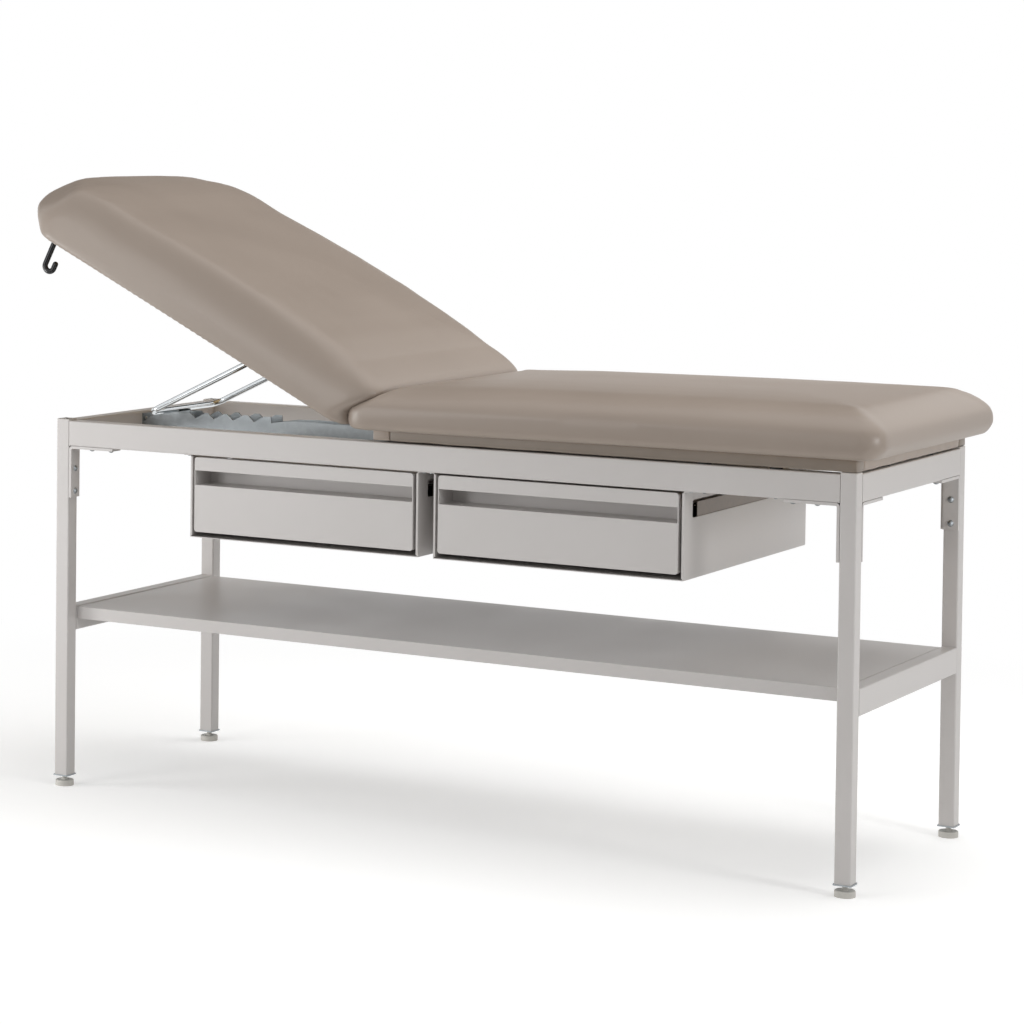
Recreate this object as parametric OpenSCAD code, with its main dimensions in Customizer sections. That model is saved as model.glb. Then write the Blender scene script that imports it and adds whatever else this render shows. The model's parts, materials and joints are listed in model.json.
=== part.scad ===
// Treatment table: steel tube frame, undershelf, two drawers in open-topped housings, a fixed seat
// section and a backrest that a chromed prop bar holds on a notched rack.
// Lengths are millimetres. The head end is at -X, the drawer side at -Y, the floor at Z = 0.

/* [Frame] */
// Length of the frame over the legs
frame_l = 1750; // [1700:10:1900]
// Width of the frame over the legs
frame_w = 610; // [580:5:660]
// Height of the top of the rails
frame_h = 771; // [740:1:820]
// Side of the square tube
tube = 31.75; // [30:0.25:35]
// Wall of the square tube
tube_wall = 2; // [1.5:0.1:3]
// Outer corner radius of the tubes
tube_r = 3; // [2.5:0.1:4]
// Height of the top rails
rail_h = 53; // [45:0.1:55]
// Height of the lower end rails
low_rail_h = 50.8; // [45:0.1:55]
// Underside of the lower end rails
low_rail_z = 327.3; // [250:1:400]
// How far the leg caps stand above the rails
cap_t = 3; // [2:0.1:4]
// Depth of the caps' plugs in the legs
cap_plug = 15; // [10:1:25]

/* [Corner brackets] */
// Length of each flange
bracket_l = 108; // [102:1:130]
// Width of the flanges
bracket_w = 31.5; // [22:0.5:31.5]
// Thickness of the flanges
bracket_t = 5.5; // [4:0.1:6.5]
// Outer radius of the bend
bracket_bend = 8; // [7:0.1:12]
// Distance of the first bolt from the corner
bolt_near = 48; // [40:1:55]
// Distance of the second bolt from the corner
bolt_far = 95; // [80:1:98]
// Shank radius of the bracket bolts
bolt_r = 3; // [2.5:0.1:3.5]
// Shank length of the bracket bolts
bolt_l = 14; // [11:0.5:14]
// Head radius of the bracket bolts
bolt_head_r = 6.5; // [4.5:0.1:7]
// Head height of the bracket bolts
bolt_head_h = 4.5; // [2.5:0.1:5]

/* [Feet] */
// Underside of the legs
leg_z = 24; // [23:0.5:32]
// Side of the square flange under each leg
insert_side = 36; // [33:0.5:40]
// Thickness of that flange
insert_t = 2.5; // [2:0.1:3.5]
// Depth of the insert's plug in the leg
insert_plug = 30; // [20:1:40]
// Radius of the glide disc
glide_r = 19.5; // [14:0.5:22]
// Height of the glide disc
glide_h = 12; // [10:0.5:14]
// Radius of the glide's stem
stem_r = 5; // [4:0.1:6]
// Height of the top of the glide's stem
stem_top = 60; // [50:1:80]

/* [Shelf] */
// Thickness of the shelf sheet
shelf_t = 1.5; // [1:0.1:2]
// How far the shelf lies below the top of the lower end rails
shelf_drop = 1.5; // [0:0.1:4]
// Height of the front and back flanges
shelf_flange = 25.4; // [20:0.1:35]
// Gap between the ends of the shelf and the lower end rails
shelf_gap = 2.25; // [1:0.05:4]
// Width of the return under each flange
shelf_return = 10; // [6:0.5:16]
// Width of the shelf's end angles
angle_w = 25; // [20:0.5:30]
// Thickness of the end angles
angle_t = 2; // [1.5:0.1:2.2]
// Depth of the stiffener under the shelf
hat_h = 20; // [12:0.5:24]
// Width of the stiffener's crown
hat_w = 42; // [30:1:60]

/* [Drawer housings] */
// Left side of the first housing from the head end
housing_x = 328.5; // [300:0.5:335]
// Width of a housing
housing_w = 525; // [515:1:530]
// Gap between the housings
housing_gap = 34.5; // [34.2:0.1:45]
// Height of a housing
housing_h = 168.7; // [168.5:0.1:185]
// Front edge of the housings behind the frame's front
housing_y = 7; // [5:0.5:8]
// How far the housings stand out behind the frame
housing_over = 22; // [-4:1:25]
// Sheet thickness of the housings
housing_t = 1.5; // [1:0.1:2]
// Radius of the lower back corner
housing_r = 4; // [3:0.5:30]
// Width of the flanges turned out under the side rails
flange_w = 16; // [12:0.5:17]
// Outer radius of the flange bend
flange_bend = 4; // [3:0.1:5]
// Width of the folded front hem
hem_w = 4; // [2:0.1:4.5]
// Depth of the folded front hem
hem_d = 12; // [8:0.5:20]
// Height of the window in the side walls
window_h = 34; // [20:1:36]
// Height of the window's middle above the housing's underside
window_rise = 131.5; // [127:0.5:133]
// Start of the window behind the frame's front
window_y = 48; // [40:1:60]
// Length of the window
window_l = 490; // [300:1:500]

/* [Drawers] */
// Width of a drawer front
front_w = 504; // [495:1:506]
// Height of a drawer front
front_h = 153; // [152:0.5:156]
// Drawer front behind the frame's front
front_y = 5; // [3:0.5:6]
// Gap below a drawer front to the underside of its housing
front_rise = 11.5; // [10:0.5:13]
// Height of the lower panel of a drawer front
panel_h = 96.5; // [95:0.5:98]
// Height of the finger recess
recess_h = 29.5; // [22:0.5:30]
// Depth of the finger recess
recess_d = 60; // [45:1:60]
// Width of the upright strips that close the recess
recess_end = 1.5; // [1.5:0.1:8]
// Width of the returns round a drawer front
front_return = 13; // [8:0.5:20]
// Corner radius of a drawer front
front_r = 6; // [2:0.5:10]
// Sheet thickness of the drawers
drawer_t = 1.5; // [1:0.1:2]
// Depth of a drawer box to its back
box_d = 580; // [540:1:590]
// Height of the box sides behind the recess
box_h = 137; // [130:1:140]
// Height of the box sides under the recess
box_low = 90; // [85:1:91]
// Gap between a drawer's underside and its housing
box_rise = 13.5; // [13.5:0.5:15]

/* [Drawer slides] */
// Height of a slide
slide_h = 45; // [42:0.5:48]
// Length of a slide
slide_l = 486; // [450:1:500]
// Thickness of a slide pair, housing to drawer
slide_w = 13; // [12.5:0.1:14]
// Sheet thickness of the slides
slide_t = 1.5; // [1.2:0.1:1.6]
// Start of the slides behind the frame's front
slide_y = 74; // [72:1:85]
// Height of the slides' middle above the housing's underside
slide_rise = 120; // [112:0.5:121]
// Radius of the slide balls
ball_r = 2.35; // [2:0.05:2.6]
// Distance between the balls
ball_pitch = 24; // [18:1:26]

/* [Riser] */
// Height of the battens under the seat
riser_h = 25.4; // [25.4:0.1:30]
// Width of the battens
riser_w = 38.1; // [32:0.1:45]
// Head end of the riser
riser_x = 754.5; // [750:0.5:765]
// Radius of the spacer pads on the rails
pad_r = 12; // [8:0.5:15]
// Shank radius of the riser screws
riser_screw_r = 3; // [2.5:0.1:3.5]

/* [Upholstery] */
// Width of the cushions
pad_w = 692; // [660:1:720]
// Overhang of the seat cushion past the foot end
pad_over = 49; // [40:1:55]
// Overhang of the seat cushion past the head end of the riser
pad_lap = 51; // [49:0.5:52]
// Height of the seat cushion's edge with its board
seat_h = 90; // [88:1:91]
// Length of the backrest cushion
back_l = 906; // [890:1:920]
// Height of the backrest's ends with its battens
back_h = 116; // [114:1:118]
// Rise of the seat cushion along its length
seat_dome = 5; // [0:0.5:8]
// Rise of the backrest along its length
back_dome = 30; // [10:1:34]
// Height of the crown across each cushion
crown = 6; // [3:0.5:8]
// Height of the cushions' widest line above their undersides
bulge_z = 38; // [34:1:42]
// Width of the seat cushion's rolled upper edges
seat_roll = 84; // [60:1:90]
// Width of the seat cushion's rolled lower edges
seat_under = 24; // [12:1:25]
// Width of the backrest's rolled upper edges
back_roll = 52; // [40:1:60]
// Width of the backrest's rolled lower edges
back_under = 14; // [8:1:18]
// Corner radius of the seat cushion
seat_r = 48; // [40:1:70]
// Depth of the backrest's rounded head end
head_bow = 112; // [100:1:114]
// Width of each half of that rounded end
head_side = 285; // [200:5:320]
// How far the long sides are drawn in
draw_in = 3; // [1:0.5:5]
// Thickness of the boards
board_t = 15; // [12:0.5:18]
// Distance of the seat board from the cushion's outline
seat_lip = 26; // [25:0.5:30]
// Distance of the backrest board from the cushion's outline
back_lip = 20; // [18:0.5:24]

/* [Backrest] */
// Angle of the backrest above flat
rest_angle = 26.4; // [20:0.1:30]
// Hinge axis above the top of the rails
hinge_z = 16; // [16:0.1:17]
// Hinge axis in front of the riser
hinge_gap = 6.5; // [6.3:0.1:7]
// Gap between the hinge axis and the foam nose
nose_gap = 42; // [40:0.5:44]
// Radius round the hinge that the firm part stays out of
heel_r = 105; // [105:0.5:108]
// Height at which the firm part's front starts to lean forward
heel_w = 75; // [72:0.5:76]
// Distance of the firm part's front from the hinge at the height of the cushion's ends
heel_u = 62; // [62:0.5:66]

/* [Backrest hinges] */
// Distance of the hinges from the middle of the table
hinge_at = 185; // [150:5:230]
// Width of a hinge between its ears
hinge_w = 38; // [30:0.5:44]
// Radius of the hinge barrel
barrel_r = 4.2; // [3.8:0.1:4.2]
// Radius of the hinge pin
hinge_pin_r = 2.5; // [2:0.1:2.6]
// Thickness of the hinge ears
ear_t = 3; // [2.5:0.1:4]
// Thickness of the hinge straps
strap_t = 3; // [2.5:0.1:3]
// End of the hinge straps from the axis
strap_l = 146; // [140:1:148]
// Width of the hinge brackets' plates
plate_w = 68; // [64:1:80]

/* [Rack] */
// Width of the rack channel
rack_w = 50; // [40:1:60]
// Wall of the rack channel
rack_t = 2.5; // [2:0.1:3]
// Height of the channel's floor above the rails' underside
rack_rise = 18; // [12:0.1:20]
// First notch from the head end
notch_x = 168.5; // [165:0.5:172]
// Distance between the first two notches
notch_pitch = 45.3; // [45:0.1:46.5]
// How much wider each next distance is
notch_grow = 3.3; // [2.8:0.1:3.6]
// Number of notches
notches = 5; // [4:1:5]
// Depth of the notches
notch_d = 13; // [10:0.5:16]
// Tooth tops above the rails
tooth_up = 5; // [4:0.1:5]

/* [Prop bar] */
// Radius of the prop bar
prop_r = 6.35; // [5:0.05:6.35]
// Distance between the two legs of the bar
prop_w = 270; // [240:5:300]
// Bend radius of the bar's corners
prop_bend = 25; // [20:1:35]
// Bend radius of the bar's turned ends
prop_turn = 16; // [14:1:20]
// Length of the turned ends past the bend
prop_stub = 16; // [14:0.5:20]
// Distance of the bar's pivot from the backrest hinge
prop_pivot_u = 336.5; // [330:0.5:340]
// Place of the bar on the rack from the head end
prop_x = 122; // [122:0.5:124]
// Height of the bar above the rails
prop_up = 9.5; // [9.5:0.1:10]

/* [Hooks] */
// Radius of the hook rod
hook_r = 6; // [4:0.1:6.5]
// Distance of the hooks from the frame's sides
hook_y = 60; // [55:1:90]
// Distance of the hooks from the backrest hinge
hook_u = 872; // [860:1:872]
// Bend radius of the hooks
hook_bend = 11.5; // [11:0.5:15]
// Depth of the hooks' bend centre below the hinge's level
hook_drop = 89; // [60:1:95]
// Length of the hooks' tips past the bend
hook_tip = 10; // [6:0.5:16]

/* [Hidden] */
$fn = 48;
// Gap between flat parts that pass each other
gap = 0.3;
// Radial clearance of pins and screws in their holes
run = 0.05;
// Radial clearance of bolts in sheet and tube
hole_play = 0.2;
// Overrun of cutting bodies
over = 1;
// Heads of screws and bolts, as shares of the shank's radius, and their heights
pan_head = 1.9;
slim_head = 1.6;
dome_head = 1.8;
pin_head = 1.5;
socket = 0.7;
pan_head_h = 1.8;
pin_head_h = 1.6;

// Rim radius of the glides, and their jam nuts
glide_rim = 2.5;
nut_side = 12;
nut_t = 2;

// Shelf: screws through each end angle, and how far the flanges stand behind the legs
shelf_set = 1.25;
shelf_screw_r = 2.5;
shelf_screw_l = 12;
shelf_screws_n = 3;
shelf_y = tube + shelf_set;

// Screws through the housing flanges
housing_screw_r = 2;
housing_screw_l = 12;

// Slides: reach of the channel's flanges, room for the balls, runner between them
channel_reach = slide_w * 0.75;
race_gap = 2 * ball_r + gap;
runner_h = slide_h - 2 * slide_t - 2 * race_gap;
runner_in = 2.5;
// Balls per row, how far they stand out of the runner, sheet of the cage and its length past them
balls = 4;
ball_in = 1.7;
cage_t = 0.8;
cage_end = 7;

// Screws through the rails into the riser: from the foot end on the sides, from the middle across
riser_side_at = [160, 300];
riser_cross_at = 120;
riser_screw_l = rail_h + cap_t + riser_h * 0.6;
riser_head_h = 3.2;
// Cross member behind the head end of the riser
cross_set = 5.5;

// Facets of a cushion: steps per corner, side, rolled edge and crown
corner_steps = 7;
side_steps = 6;
under_steps = 3;
roll_steps = 7;
crown_steps = 3;
// Reach of the crown from the rolled edge
crown_reach = 200;
// Power of the rolled edge's curve: 2 is an ellipse, less is flatter
roll_power = 1.78;
// Highest place of the domes, as a share of the length
seat_dome_at = 0.5;
back_dome_at = 0.42;
// Least corner radius of a ring
least_r = 4;
seat_corner = [seat_r, seat_r];
head_corner = [head_bow, head_side];
// Wall of foam between the firm part's front and the board
heel_wall = 7;

// Hinge brackets and screws
hinge_screw_r = 2.5;
hinge_screw_l = 22;
plate_t = 2;
plate_in = 1;
plate_h = riser_h - 2 * plate_in;
ear_r = 6;
strap_screw_r = 2.5;
strap_screw_l = 22;
strap_screw_at = [9, 25];

// Rack: end plates, bolts, and how far the ends of the channel stay below the rails
rack_end_t = 3;
rack_end_drop = 5;
rack_bolt_r = 3;
rack_bolt_l = 14;
rack_bolt_h = 3;
rack_x0 = tube + rack_end_t;
rack_tail = 3;
// Saddle of the bar in front of the notches: length and rise
saddle_l = 15;
saddle_rise = 0.8;
// Crest of a notch: distance from its bottom to the peak, width of the flat top, flank to the next one
crest_at = 25;
crest_flat = 3;
flank_left = 15.5;
first_crest = 1.2;
crest_rise = 4;
// The last notch: upright wall in front of its middle, sloping floor, and rise of that floor
last_wide = 13;
last_floor = 26;
last_rise = 6;
// Points of the ramp at the head end: distance from the head end, height above the rails
ramp = [[rack_x0, -23], [45, -15], [60, -8], [75, -3], [90, -0.2], [105, 1.5]];
// Hump behind the notches, and the run to the cross member
hump = [[430, -1], [448, -0.5], [490, -1.5], [594, -3]];

// Brackets and screws of the prop bar
prop_screw_r = 2;
prop_screw_l = 14;
prop_base_t = 2.5;
prop_base_l = 56;
prop_base_w = 34;
prop_ear_t = 3;
prop_ear_gap = 4;
prop_ear_y = prop_w / 2 + prop_turn + prop_ear_gap;
prop_ear_r = prop_r + 3.2;
prop_screw_in = 7;

// Studs and bases of the hooks
hook_stud_r = 3;
hook_stud_l = 11;
hook_base_r = 9;
hook_base_t = 3;

rail_z = frame_h - rail_h;
low_rail_top = low_rail_z + low_rail_h;
bore_side = tube - 2 * tube_wall;
plug_side = bore_side - gap;
mid_y = frame_w / 2;
inner_l = frame_l - tube;
inner_w = frame_w - tube;
cap_top = frame_h + cap_t;
bolt_inside_r = bolt_r + hole_play;

housing_z = rail_z - housing_h;
housing_d = frame_w + housing_over - housing_y;
housing_step = housing_w + housing_gap;
front_z = housing_z + front_rise;
front_top = front_z + front_h;
recess_z = front_z + panel_h;
recess_top = recess_z + recess_h;
box_w = housing_w - 2 * housing_t - 2 * slide_w;
box_z = housing_z + box_rise;
box_back = front_y + drawer_t + box_d;
slide_z = housing_z + slide_rise;
window_z = housing_z + window_rise;

seat_z = cap_top + riser_h;
seat_x = riser_x - pad_lap;
seat_l = frame_l + pad_over - seat_x;
seat_board_t = board_t;
cross_x = riser_x + cross_set;

hinge_x = riser_x - hinge_gap;
hinge_top = frame_h + hinge_z;
back_w0 = cap_top - hinge_top;
back_u1 = nose_gap + back_l;
back_board_w = back_w0 + riser_h;
pocket_u = heel_r + heel_wall;
heel_arc_u = sqrt(heel_r * heel_r - heel_w * heel_w);
nose_clear = 0.5;
strap_low = back_w0 - strap_t / 2;

prop_px = hinge_x - prop_pivot_u * cos(rest_angle);
prop_pz = hinge_top + prop_pivot_u * sin(rest_angle);
prop_bar_z = frame_h + prop_up;
prop_l = norm([prop_px - prop_x, prop_pz - prop_bar_z]);
prop_angle = atan2(prop_pz - prop_bar_z, prop_px - prop_x);
rack_z = rail_z + rack_rise;
tooth_z = frame_h + tooth_up;
saddle_z = prop_bar_z - prop_r - gap;

hook_cu = hook_u - hook_bend;
hook_left = world_x(hook_cu, -hook_drop) - hook_bend - hook_r;
back_profile = pad_profile(back_h, back_under, back_roll);
pad_left = min([for (p = back_profile) world_x(back_u1 - p[0], back_w0 + p[1])]);
origin_x = (min(hook_left, pad_left) + frame_l + pad_over) / 2;

shelf_top = low_rail_top - shelf_drop;
shelf_seat = shelf_top - shelf_t;
back_batten_y = mid_y - pad_w / 2 + back_lip;
back_batten_end = back_u1 - head_bow - 2 * least_r;
head_batten_u = back_batten_end - riser_w;
rack_x1 = cross_x - rack_end_t;
// Centre line of a strap: it drops clear of the seat cushion, then runs under the batten
strap_path = [[0, 0], [23, -20.4], [44, -25.6], [73, strap_low], [strap_l, strap_low]];

steel = "#cdc9c4";
zinc = "#b9bcbe";
chrome = "#d6dadd";
vinyl = "#9e9287";
wood = "#c9a877";
black = "#26262a";
nylon = "#c8c4be";

// World X of a point of the backrest at rest: u from the hinge to the head, w square to the board
function world_x(u, w) = hinge_x - u * cos(rest_angle) + w * sin(rest_angle);

// Moves what is drawn from the frame's front head-end corner to the middle of the table
module placed() {
  translate([-origin_x, -mid_y, 0]) children();
}

// Box between two corners
module block(a, b) {
  translate(a) cube(b - a);
}

// Extrudes an XZ profile along Y
module across(y0, y1) {
  translate([0, y1, 0]) rotate([90, 0, 0]) linear_extrude(y1 - y0) children();
}

// Extrudes a YZ profile along X
module along(x0, x1) {
  translate([x0, 0, 0]) rotate([90, 0, 90]) linear_extrude(x1 - x0) children();
}

// What is drawn at the front head-end corner, at one of the four corners
module at_corner(foot, back) {
  translate([foot * frame_l, back * frame_w, 0]) mirror([foot, 0, 0]) mirror([0, back, 0]) children();
}

module at_all_corners() {
  for (foot = [0, 1], back = [0, 1]) at_corner(foot, back) children();
}

// What is drawn on the front half, and its mirror image on the back half
module both_sides() {
  children();
  translate([0, frame_w, 0]) mirror([0, 1, 0]) children();
}

// Rectangle with round corners
module rounded(w, h, r) {
  translate([r, 0]) square([w - 2 * r, h]);
  translate([0, r]) square([w, h - 2 * r]);
  for (x = [r, w - r], y = [r, h - r]) translate([x, y]) circle(r);
}

// Section of a tube
module tube_section(w, h) {
  difference() {
    rounded(w, h, tube_r);
    translate([tube_wall, tube_wall]) rounded(w - 2 * tube_wall, h - 2 * tube_wall, tube_r - tube_wall);
  }
}

// Sheet folded through points, with a round outside at each bend
module strip(points, t) {
  for (i = [0:len(points) - 2]) {
    step = points[i + 1] - points[i];
    translate(points[i]) rotate(atan2(step[1], step[0])) translate([0, -t / 2]) square([norm(step), t]);
  }
  for (i = [1:len(points) - 2]) translate(points[i]) circle(t / 2);
}

// Thick bar bent through points, with sharp mitres at the bends
module bent_bar(points, t) {
  last = len(points) - 1;
  polygon(concat(
    [for (i = [0:last]) beside(points, i, t / 2)],
    [for (i = [last:-1:0]) beside(points, i, -t / 2)]
  ));
}

// Point i of a path, moved sideways by d so that both stretches keep their thickness
function beside(points, i, d) =
  let (a = square_to(points, max(i, 1)), b = square_to(points, min(i + 1, len(points) - 1)))
  points[i] + d * (a + b) / (1 + a * b);

// Unit vector square to the stretch that ends at point i
function square_to(points, i) =
  let (step = points[i] - points[i - 1]) [-step[1], step[0]] / norm(step);

// Quarter of a ring, in the quadrant of -x and +y
module quarter_ring(r, t) {
  intersection() {
    difference() {
      circle(r);
      circle(r - t);
    }
    translate([-r, 0]) square(r);
  }
}

// Domed screw with a hexagon socket: head up from z = 0, shank down
module domed_bolt(r, length, head_r, head_h) {
  dome_r = (head_r * head_r + head_h * head_h) / (2 * head_h);
  difference() {
    union() {
      translate([0, 0, -length]) cylinder(h = length, r = r);
      intersection() {
        cylinder(h = head_h, r = head_r);
        translate([0, 0, head_h - dome_r]) sphere(dome_r);
      }
    }
    translate([0, 0, head_h / 2]) cylinder(h = head_h, r = r * socket, $fn = 6);
  }
}

// Plain screw with a low head
module pan_screw(r, length, head_r, head_h) {
  translate([0, 0, -length]) cylinder(h = length + head_h / 2, r = r);
  cylinder(h = head_h, r = head_r);
}

module hole(r, length) {
  translate([0, 0, -length]) cylinder(h = length + over, r = r);
}

// The two bracket places of the front head-end corner: x along the rail, z down the leg
module at_brackets() {
  translate([tube, tube / 2, rail_z]) children();
  translate([tube / 2, tube, rail_z]) rotate([0, 0, 90]) children();
}

// The four bolt places of a bracket, heads outwards
module at_bolts() {
  for (d = [bolt_near, bolt_far]) {
    translate([d, 0, -bracket_t]) rotate([180, 0, 0]) children();
    translate([bracket_t, 0, -d]) rotate([0, 90, 0]) children();
  }
}

module corner_holes() {
  at_brackets() at_bolts() hole(bolt_inside_r, bolt_l + over);
}

module leg() {
  difference() {
    translate([0, 0, leg_z]) linear_extrude(frame_h - leg_z) tube_section(tube, tube);
    corner_holes();
  }
}

module leg_front_head() {
  color(steel) placed() at_corner(0, 0) leg();
}

module leg_front_foot() {
  color(steel) placed() at_corner(1, 0) leg();
}

module leg_back_head() {
  color(steel) placed() at_corner(0, 1) leg();
}

module leg_back_foot() {
  color(steel) placed() at_corner(1, 1) leg();
}

module leg_caps() {
  inset = (tube - plug_side) / 2;
  color(steel) placed() at_all_corners() {
    translate([0, 0, frame_h]) linear_extrude(cap_t) rounded(tube, tube, tube_r);
    translate([inset, inset, frame_h - cap_plug]) cube([plug_side, plug_side, cap_plug + over]);
  }
}

// Rail between the front and the back leg of one end
module end_rail(z, h) {
  across(tube, inner_w) translate([0, z]) tube_section(tube, h);
}

module top_rail_head() {
  color(steel) placed() difference() {
    end_rail(rail_z, rail_h);
    both_sides() corner_holes();
    rack_bolt_places(0) hole(rack_bolt_r + hole_play, rack_bolt_l + over);
  }
}

module top_rail_foot() {
  color(steel) placed() difference() {
    translate([frame_l, 0, 0]) mirror([1, 0, 0]) end_rail(rail_z, rail_h);
    both_sides() at_corner(1, 0) corner_holes();
    riser_places() riser_hole(riser_screw_r + hole_play);
  }
}

module low_rail_head() {
  color(steel) placed() difference() {
    end_rail(low_rail_z, low_rail_h);
    shelf_screw_places() hole(shelf_screw_r + hole_play, shelf_screw_l + over);
  }
}

module low_rail_foot() {
  color(steel) placed() translate([frame_l, 0, 0]) mirror([1, 0, 0]) difference() {
    end_rail(low_rail_z, low_rail_h);
    shelf_screw_places() hole(shelf_screw_r + hole_play, shelf_screw_l + over);
  }
}

// Side rail on the front side, drilled for brackets, housings and riser
module side_rail() {
  difference() {
    along(tube, inner_l) translate([0, rail_z]) tube_section(tube, rail_h);
    at_corner(0, 0) corner_holes();
    at_corner(1, 0) corner_holes();
    housing_screw_places() hole(housing_screw_r + hole_play, housing_screw_l + over);
    riser_places() riser_hole(riser_screw_r + hole_play);
  }
}

module side_rail_front() {
  color(steel) placed() side_rail();
}

module side_rail_back() {
  color(steel) placed() translate([0, frame_w, 0]) mirror([0, 1, 0]) side_rail();
}

module cross_member() {
  color(steel) placed() difference() {
    across(tube, inner_w) translate([cross_x, rail_z]) tube_section(tube, rail_h);
    riser_places() riser_hole(riser_screw_r + hole_play);
    rack_bolt_places(1) hole(rack_bolt_r + hole_play, rack_bolt_l + over);
  }
}

module bracket_profile() {
  translate([bracket_bend, -bracket_t]) square([bracket_l - bracket_bend, bracket_t]);
  translate([0, -bracket_l]) square([bracket_t, bracket_l - bracket_bend]);
  translate([bracket_bend, -bracket_bend]) quarter_ring(bracket_bend, bracket_t);
}

module corner_brackets() {
  color(steel) placed() at_all_corners() at_brackets() difference() {
    across(-bracket_w / 2, bracket_w / 2) bracket_profile();
    at_bolts() hole(bolt_inside_r, bracket_t + over);
  }
}

module bracket_bolts() {
  color(steel) placed() at_all_corners() at_brackets() at_bolts()
    domed_bolt(bolt_r, bolt_l, bolt_head_r, bolt_head_h);
}

// Zinc-plated square insert with a threaded bore for the glide
module foot_inserts() {
  color(zinc) placed() at_all_corners() translate([tube / 2, tube / 2, 0]) difference() {
    union() {
      translate([-insert_side / 2, -insert_side / 2, leg_z - insert_t]) linear_extrude(insert_t)
        rounded(insert_side, insert_side, tube_r);
      translate([-plug_side / 2, -plug_side / 2, leg_z - over])
        cube([plug_side, plug_side, insert_plug + over]);
    }
    translate([0, 0, leg_z - insert_t - over])
      cylinder(h = insert_plug + insert_t + 2 * over, r = stem_r + run);
  }
}

// Levelling glide: disc with a rounded rim, jam nut and stem
module glide() {
  translate([tube / 2, tube / 2, 0]) {
    rotate_extrude() {
      square([glide_r, glide_h - glide_rim]);
      square([glide_r - glide_rim, glide_h]);
      translate([glide_r - glide_rim, glide_h - glide_rim]) intersection() {
        circle(glide_rim);
        square(glide_rim);
      }
    }
    translate([0, 0, glide_h - over]) cylinder(h = stem_top - glide_h + over, r = stem_r);
    translate([-nut_side / 2, -nut_side / 2, glide_h - over]) cube([nut_side, nut_side, nut_t + over]);
  }
}

module glide_front_head() {
  color(nylon) placed() at_corner(0, 0) glide();
}

module glide_front_foot() {
  color(nylon) placed() at_corner(1, 0) glide();
}

module glide_back_head() {
  color(nylon) placed() at_corner(0, 1) glide();
}

module glide_back_foot() {
  color(nylon) placed() at_corner(1, 1) glide();
}

// Shelf: a sheet with a folded flange along the front and the back
module shelf_pan() {
  mid = shelf_t / 2;
  y0 = shelf_y + mid;
  z1 = shelf_top - mid;
  z0 = shelf_top - shelf_flange + mid;
  color(steel) placed() along(tube + shelf_gap, inner_l - shelf_gap)
    strip([[y0 + shelf_return, z0], [y0, z0], [y0, z1], [frame_w - y0, z1], [frame_w - y0, z0],
           [frame_w - y0 - shelf_return, z0]], shelf_t);
}

// Screws through an end angle into the head-end lower rail, heads towards the foot
module shelf_screw_places() {
  for (k = [1:shelf_screws_n]) {
    y = frame_w * k / (shelf_screws_n + 1);
    translate([tube + angle_t, y, shelf_seat - angle_w / 2]) rotate([0, 90, 0]) children();
  }
}

module both_ends() {
  children();
  translate([frame_l, 0, 0]) mirror([1, 0, 0]) children();
}

module shelf_angles() {
  side_play = 12;
  y0 = shelf_y + side_play;
  color(steel) placed() both_ends() difference() {
    across(y0, frame_w - y0) {
      translate([tube, shelf_seat - angle_w]) square([angle_t, angle_w]);
      translate([tube, shelf_seat - angle_t]) square([angle_w, angle_t]);
    }
    shelf_screw_places() hole(shelf_screw_r + hole_play, angle_t + over);
  }
}

module shelf_stiffener() {
  mid = shelf_t / 2;
  lip = 15;
  slope = 5;
  x0 = frame_l / 2 - hat_w / 2;
  x1 = frame_l / 2 + hat_w / 2;
  z1 = shelf_seat - mid;
  z0 = shelf_seat - hat_h + mid;
  y0 = shelf_y + shelf_t + gap;
  color(steel) placed() across(y0 + shelf_return, frame_w - y0 - shelf_return)
    strip([[x0 - slope - lip, z1], [x0 - slope, z1], [x0, z0], [x1, z0], [x1 + slope, z1],
           [x1 + slope + lip, z1]], shelf_t);
}

module shelf_screws() {
  color(zinc) placed() both_ends() shelf_screw_places()
    pan_screw(shelf_screw_r, shelf_screw_l, shelf_screw_r * pan_head, pan_head_h);
}

// Side view of a housing: open top and front, round lower back corner
module housing_side(inset) {
  y0 = housing_y - (inset > 0 ? over : 0);
  y1 = housing_y + housing_d - inset;
  z0 = housing_z + inset;
  z1 = rail_z - flange_bend + (inset > 0 ? over : 0);
  r = housing_r - inset;
  translate([y0, z0]) square([y1 - r - y0, z1 - z0]);
  translate([y0, z0 + r]) square([y1 - y0, z1 - z0 - r]);
  translate([y1 - r, z0 + r]) circle(r);
}

// Flange turned out along the top of the side wall at x = 0
module housing_flange() {
  across(housing_y, housing_y + housing_d) {
    translate([housing_t - flange_bend, rail_z - flange_bend]) mirror([1, 0])
      quarter_ring(flange_bend, housing_t);
    translate([-flange_w, rail_z - housing_t]) square([flange_w + housing_t - flange_bend, housing_t]);
  }
}

module housing_wall_cut() {
  along(-over, housing_t + over) translate([window_y, window_z - window_h / 2])
    rounded(window_l, window_h, window_h / 8);
}

module housing_half() {
  housing_flange();
  block([0, housing_y, housing_z + housing_r], [hem_w, housing_y + hem_d, rail_z - flange_bend]);
}

module housing(x) {
  difference() {
    translate([x, 0, 0]) {
      difference() {
        along(0, housing_w) housing_side(0);
        along(housing_t, housing_w - housing_t) housing_side(housing_t);
        housing_wall_cut();
        translate([housing_w, 0, 0]) mirror([1, 0, 0]) housing_wall_cut();
      }
      housing_half();
      translate([housing_w, 0, 0]) mirror([1, 0, 0]) housing_half();
    }
    both_sides() housing_screw_places() hole(housing_screw_r + hole_play, housing_t + over);
  }
}

module housing_head() {
  color(steel) placed() housing(housing_x);
}

module housing_foot() {
  color(steel) placed() housing(housing_x + housing_step);
}

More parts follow.
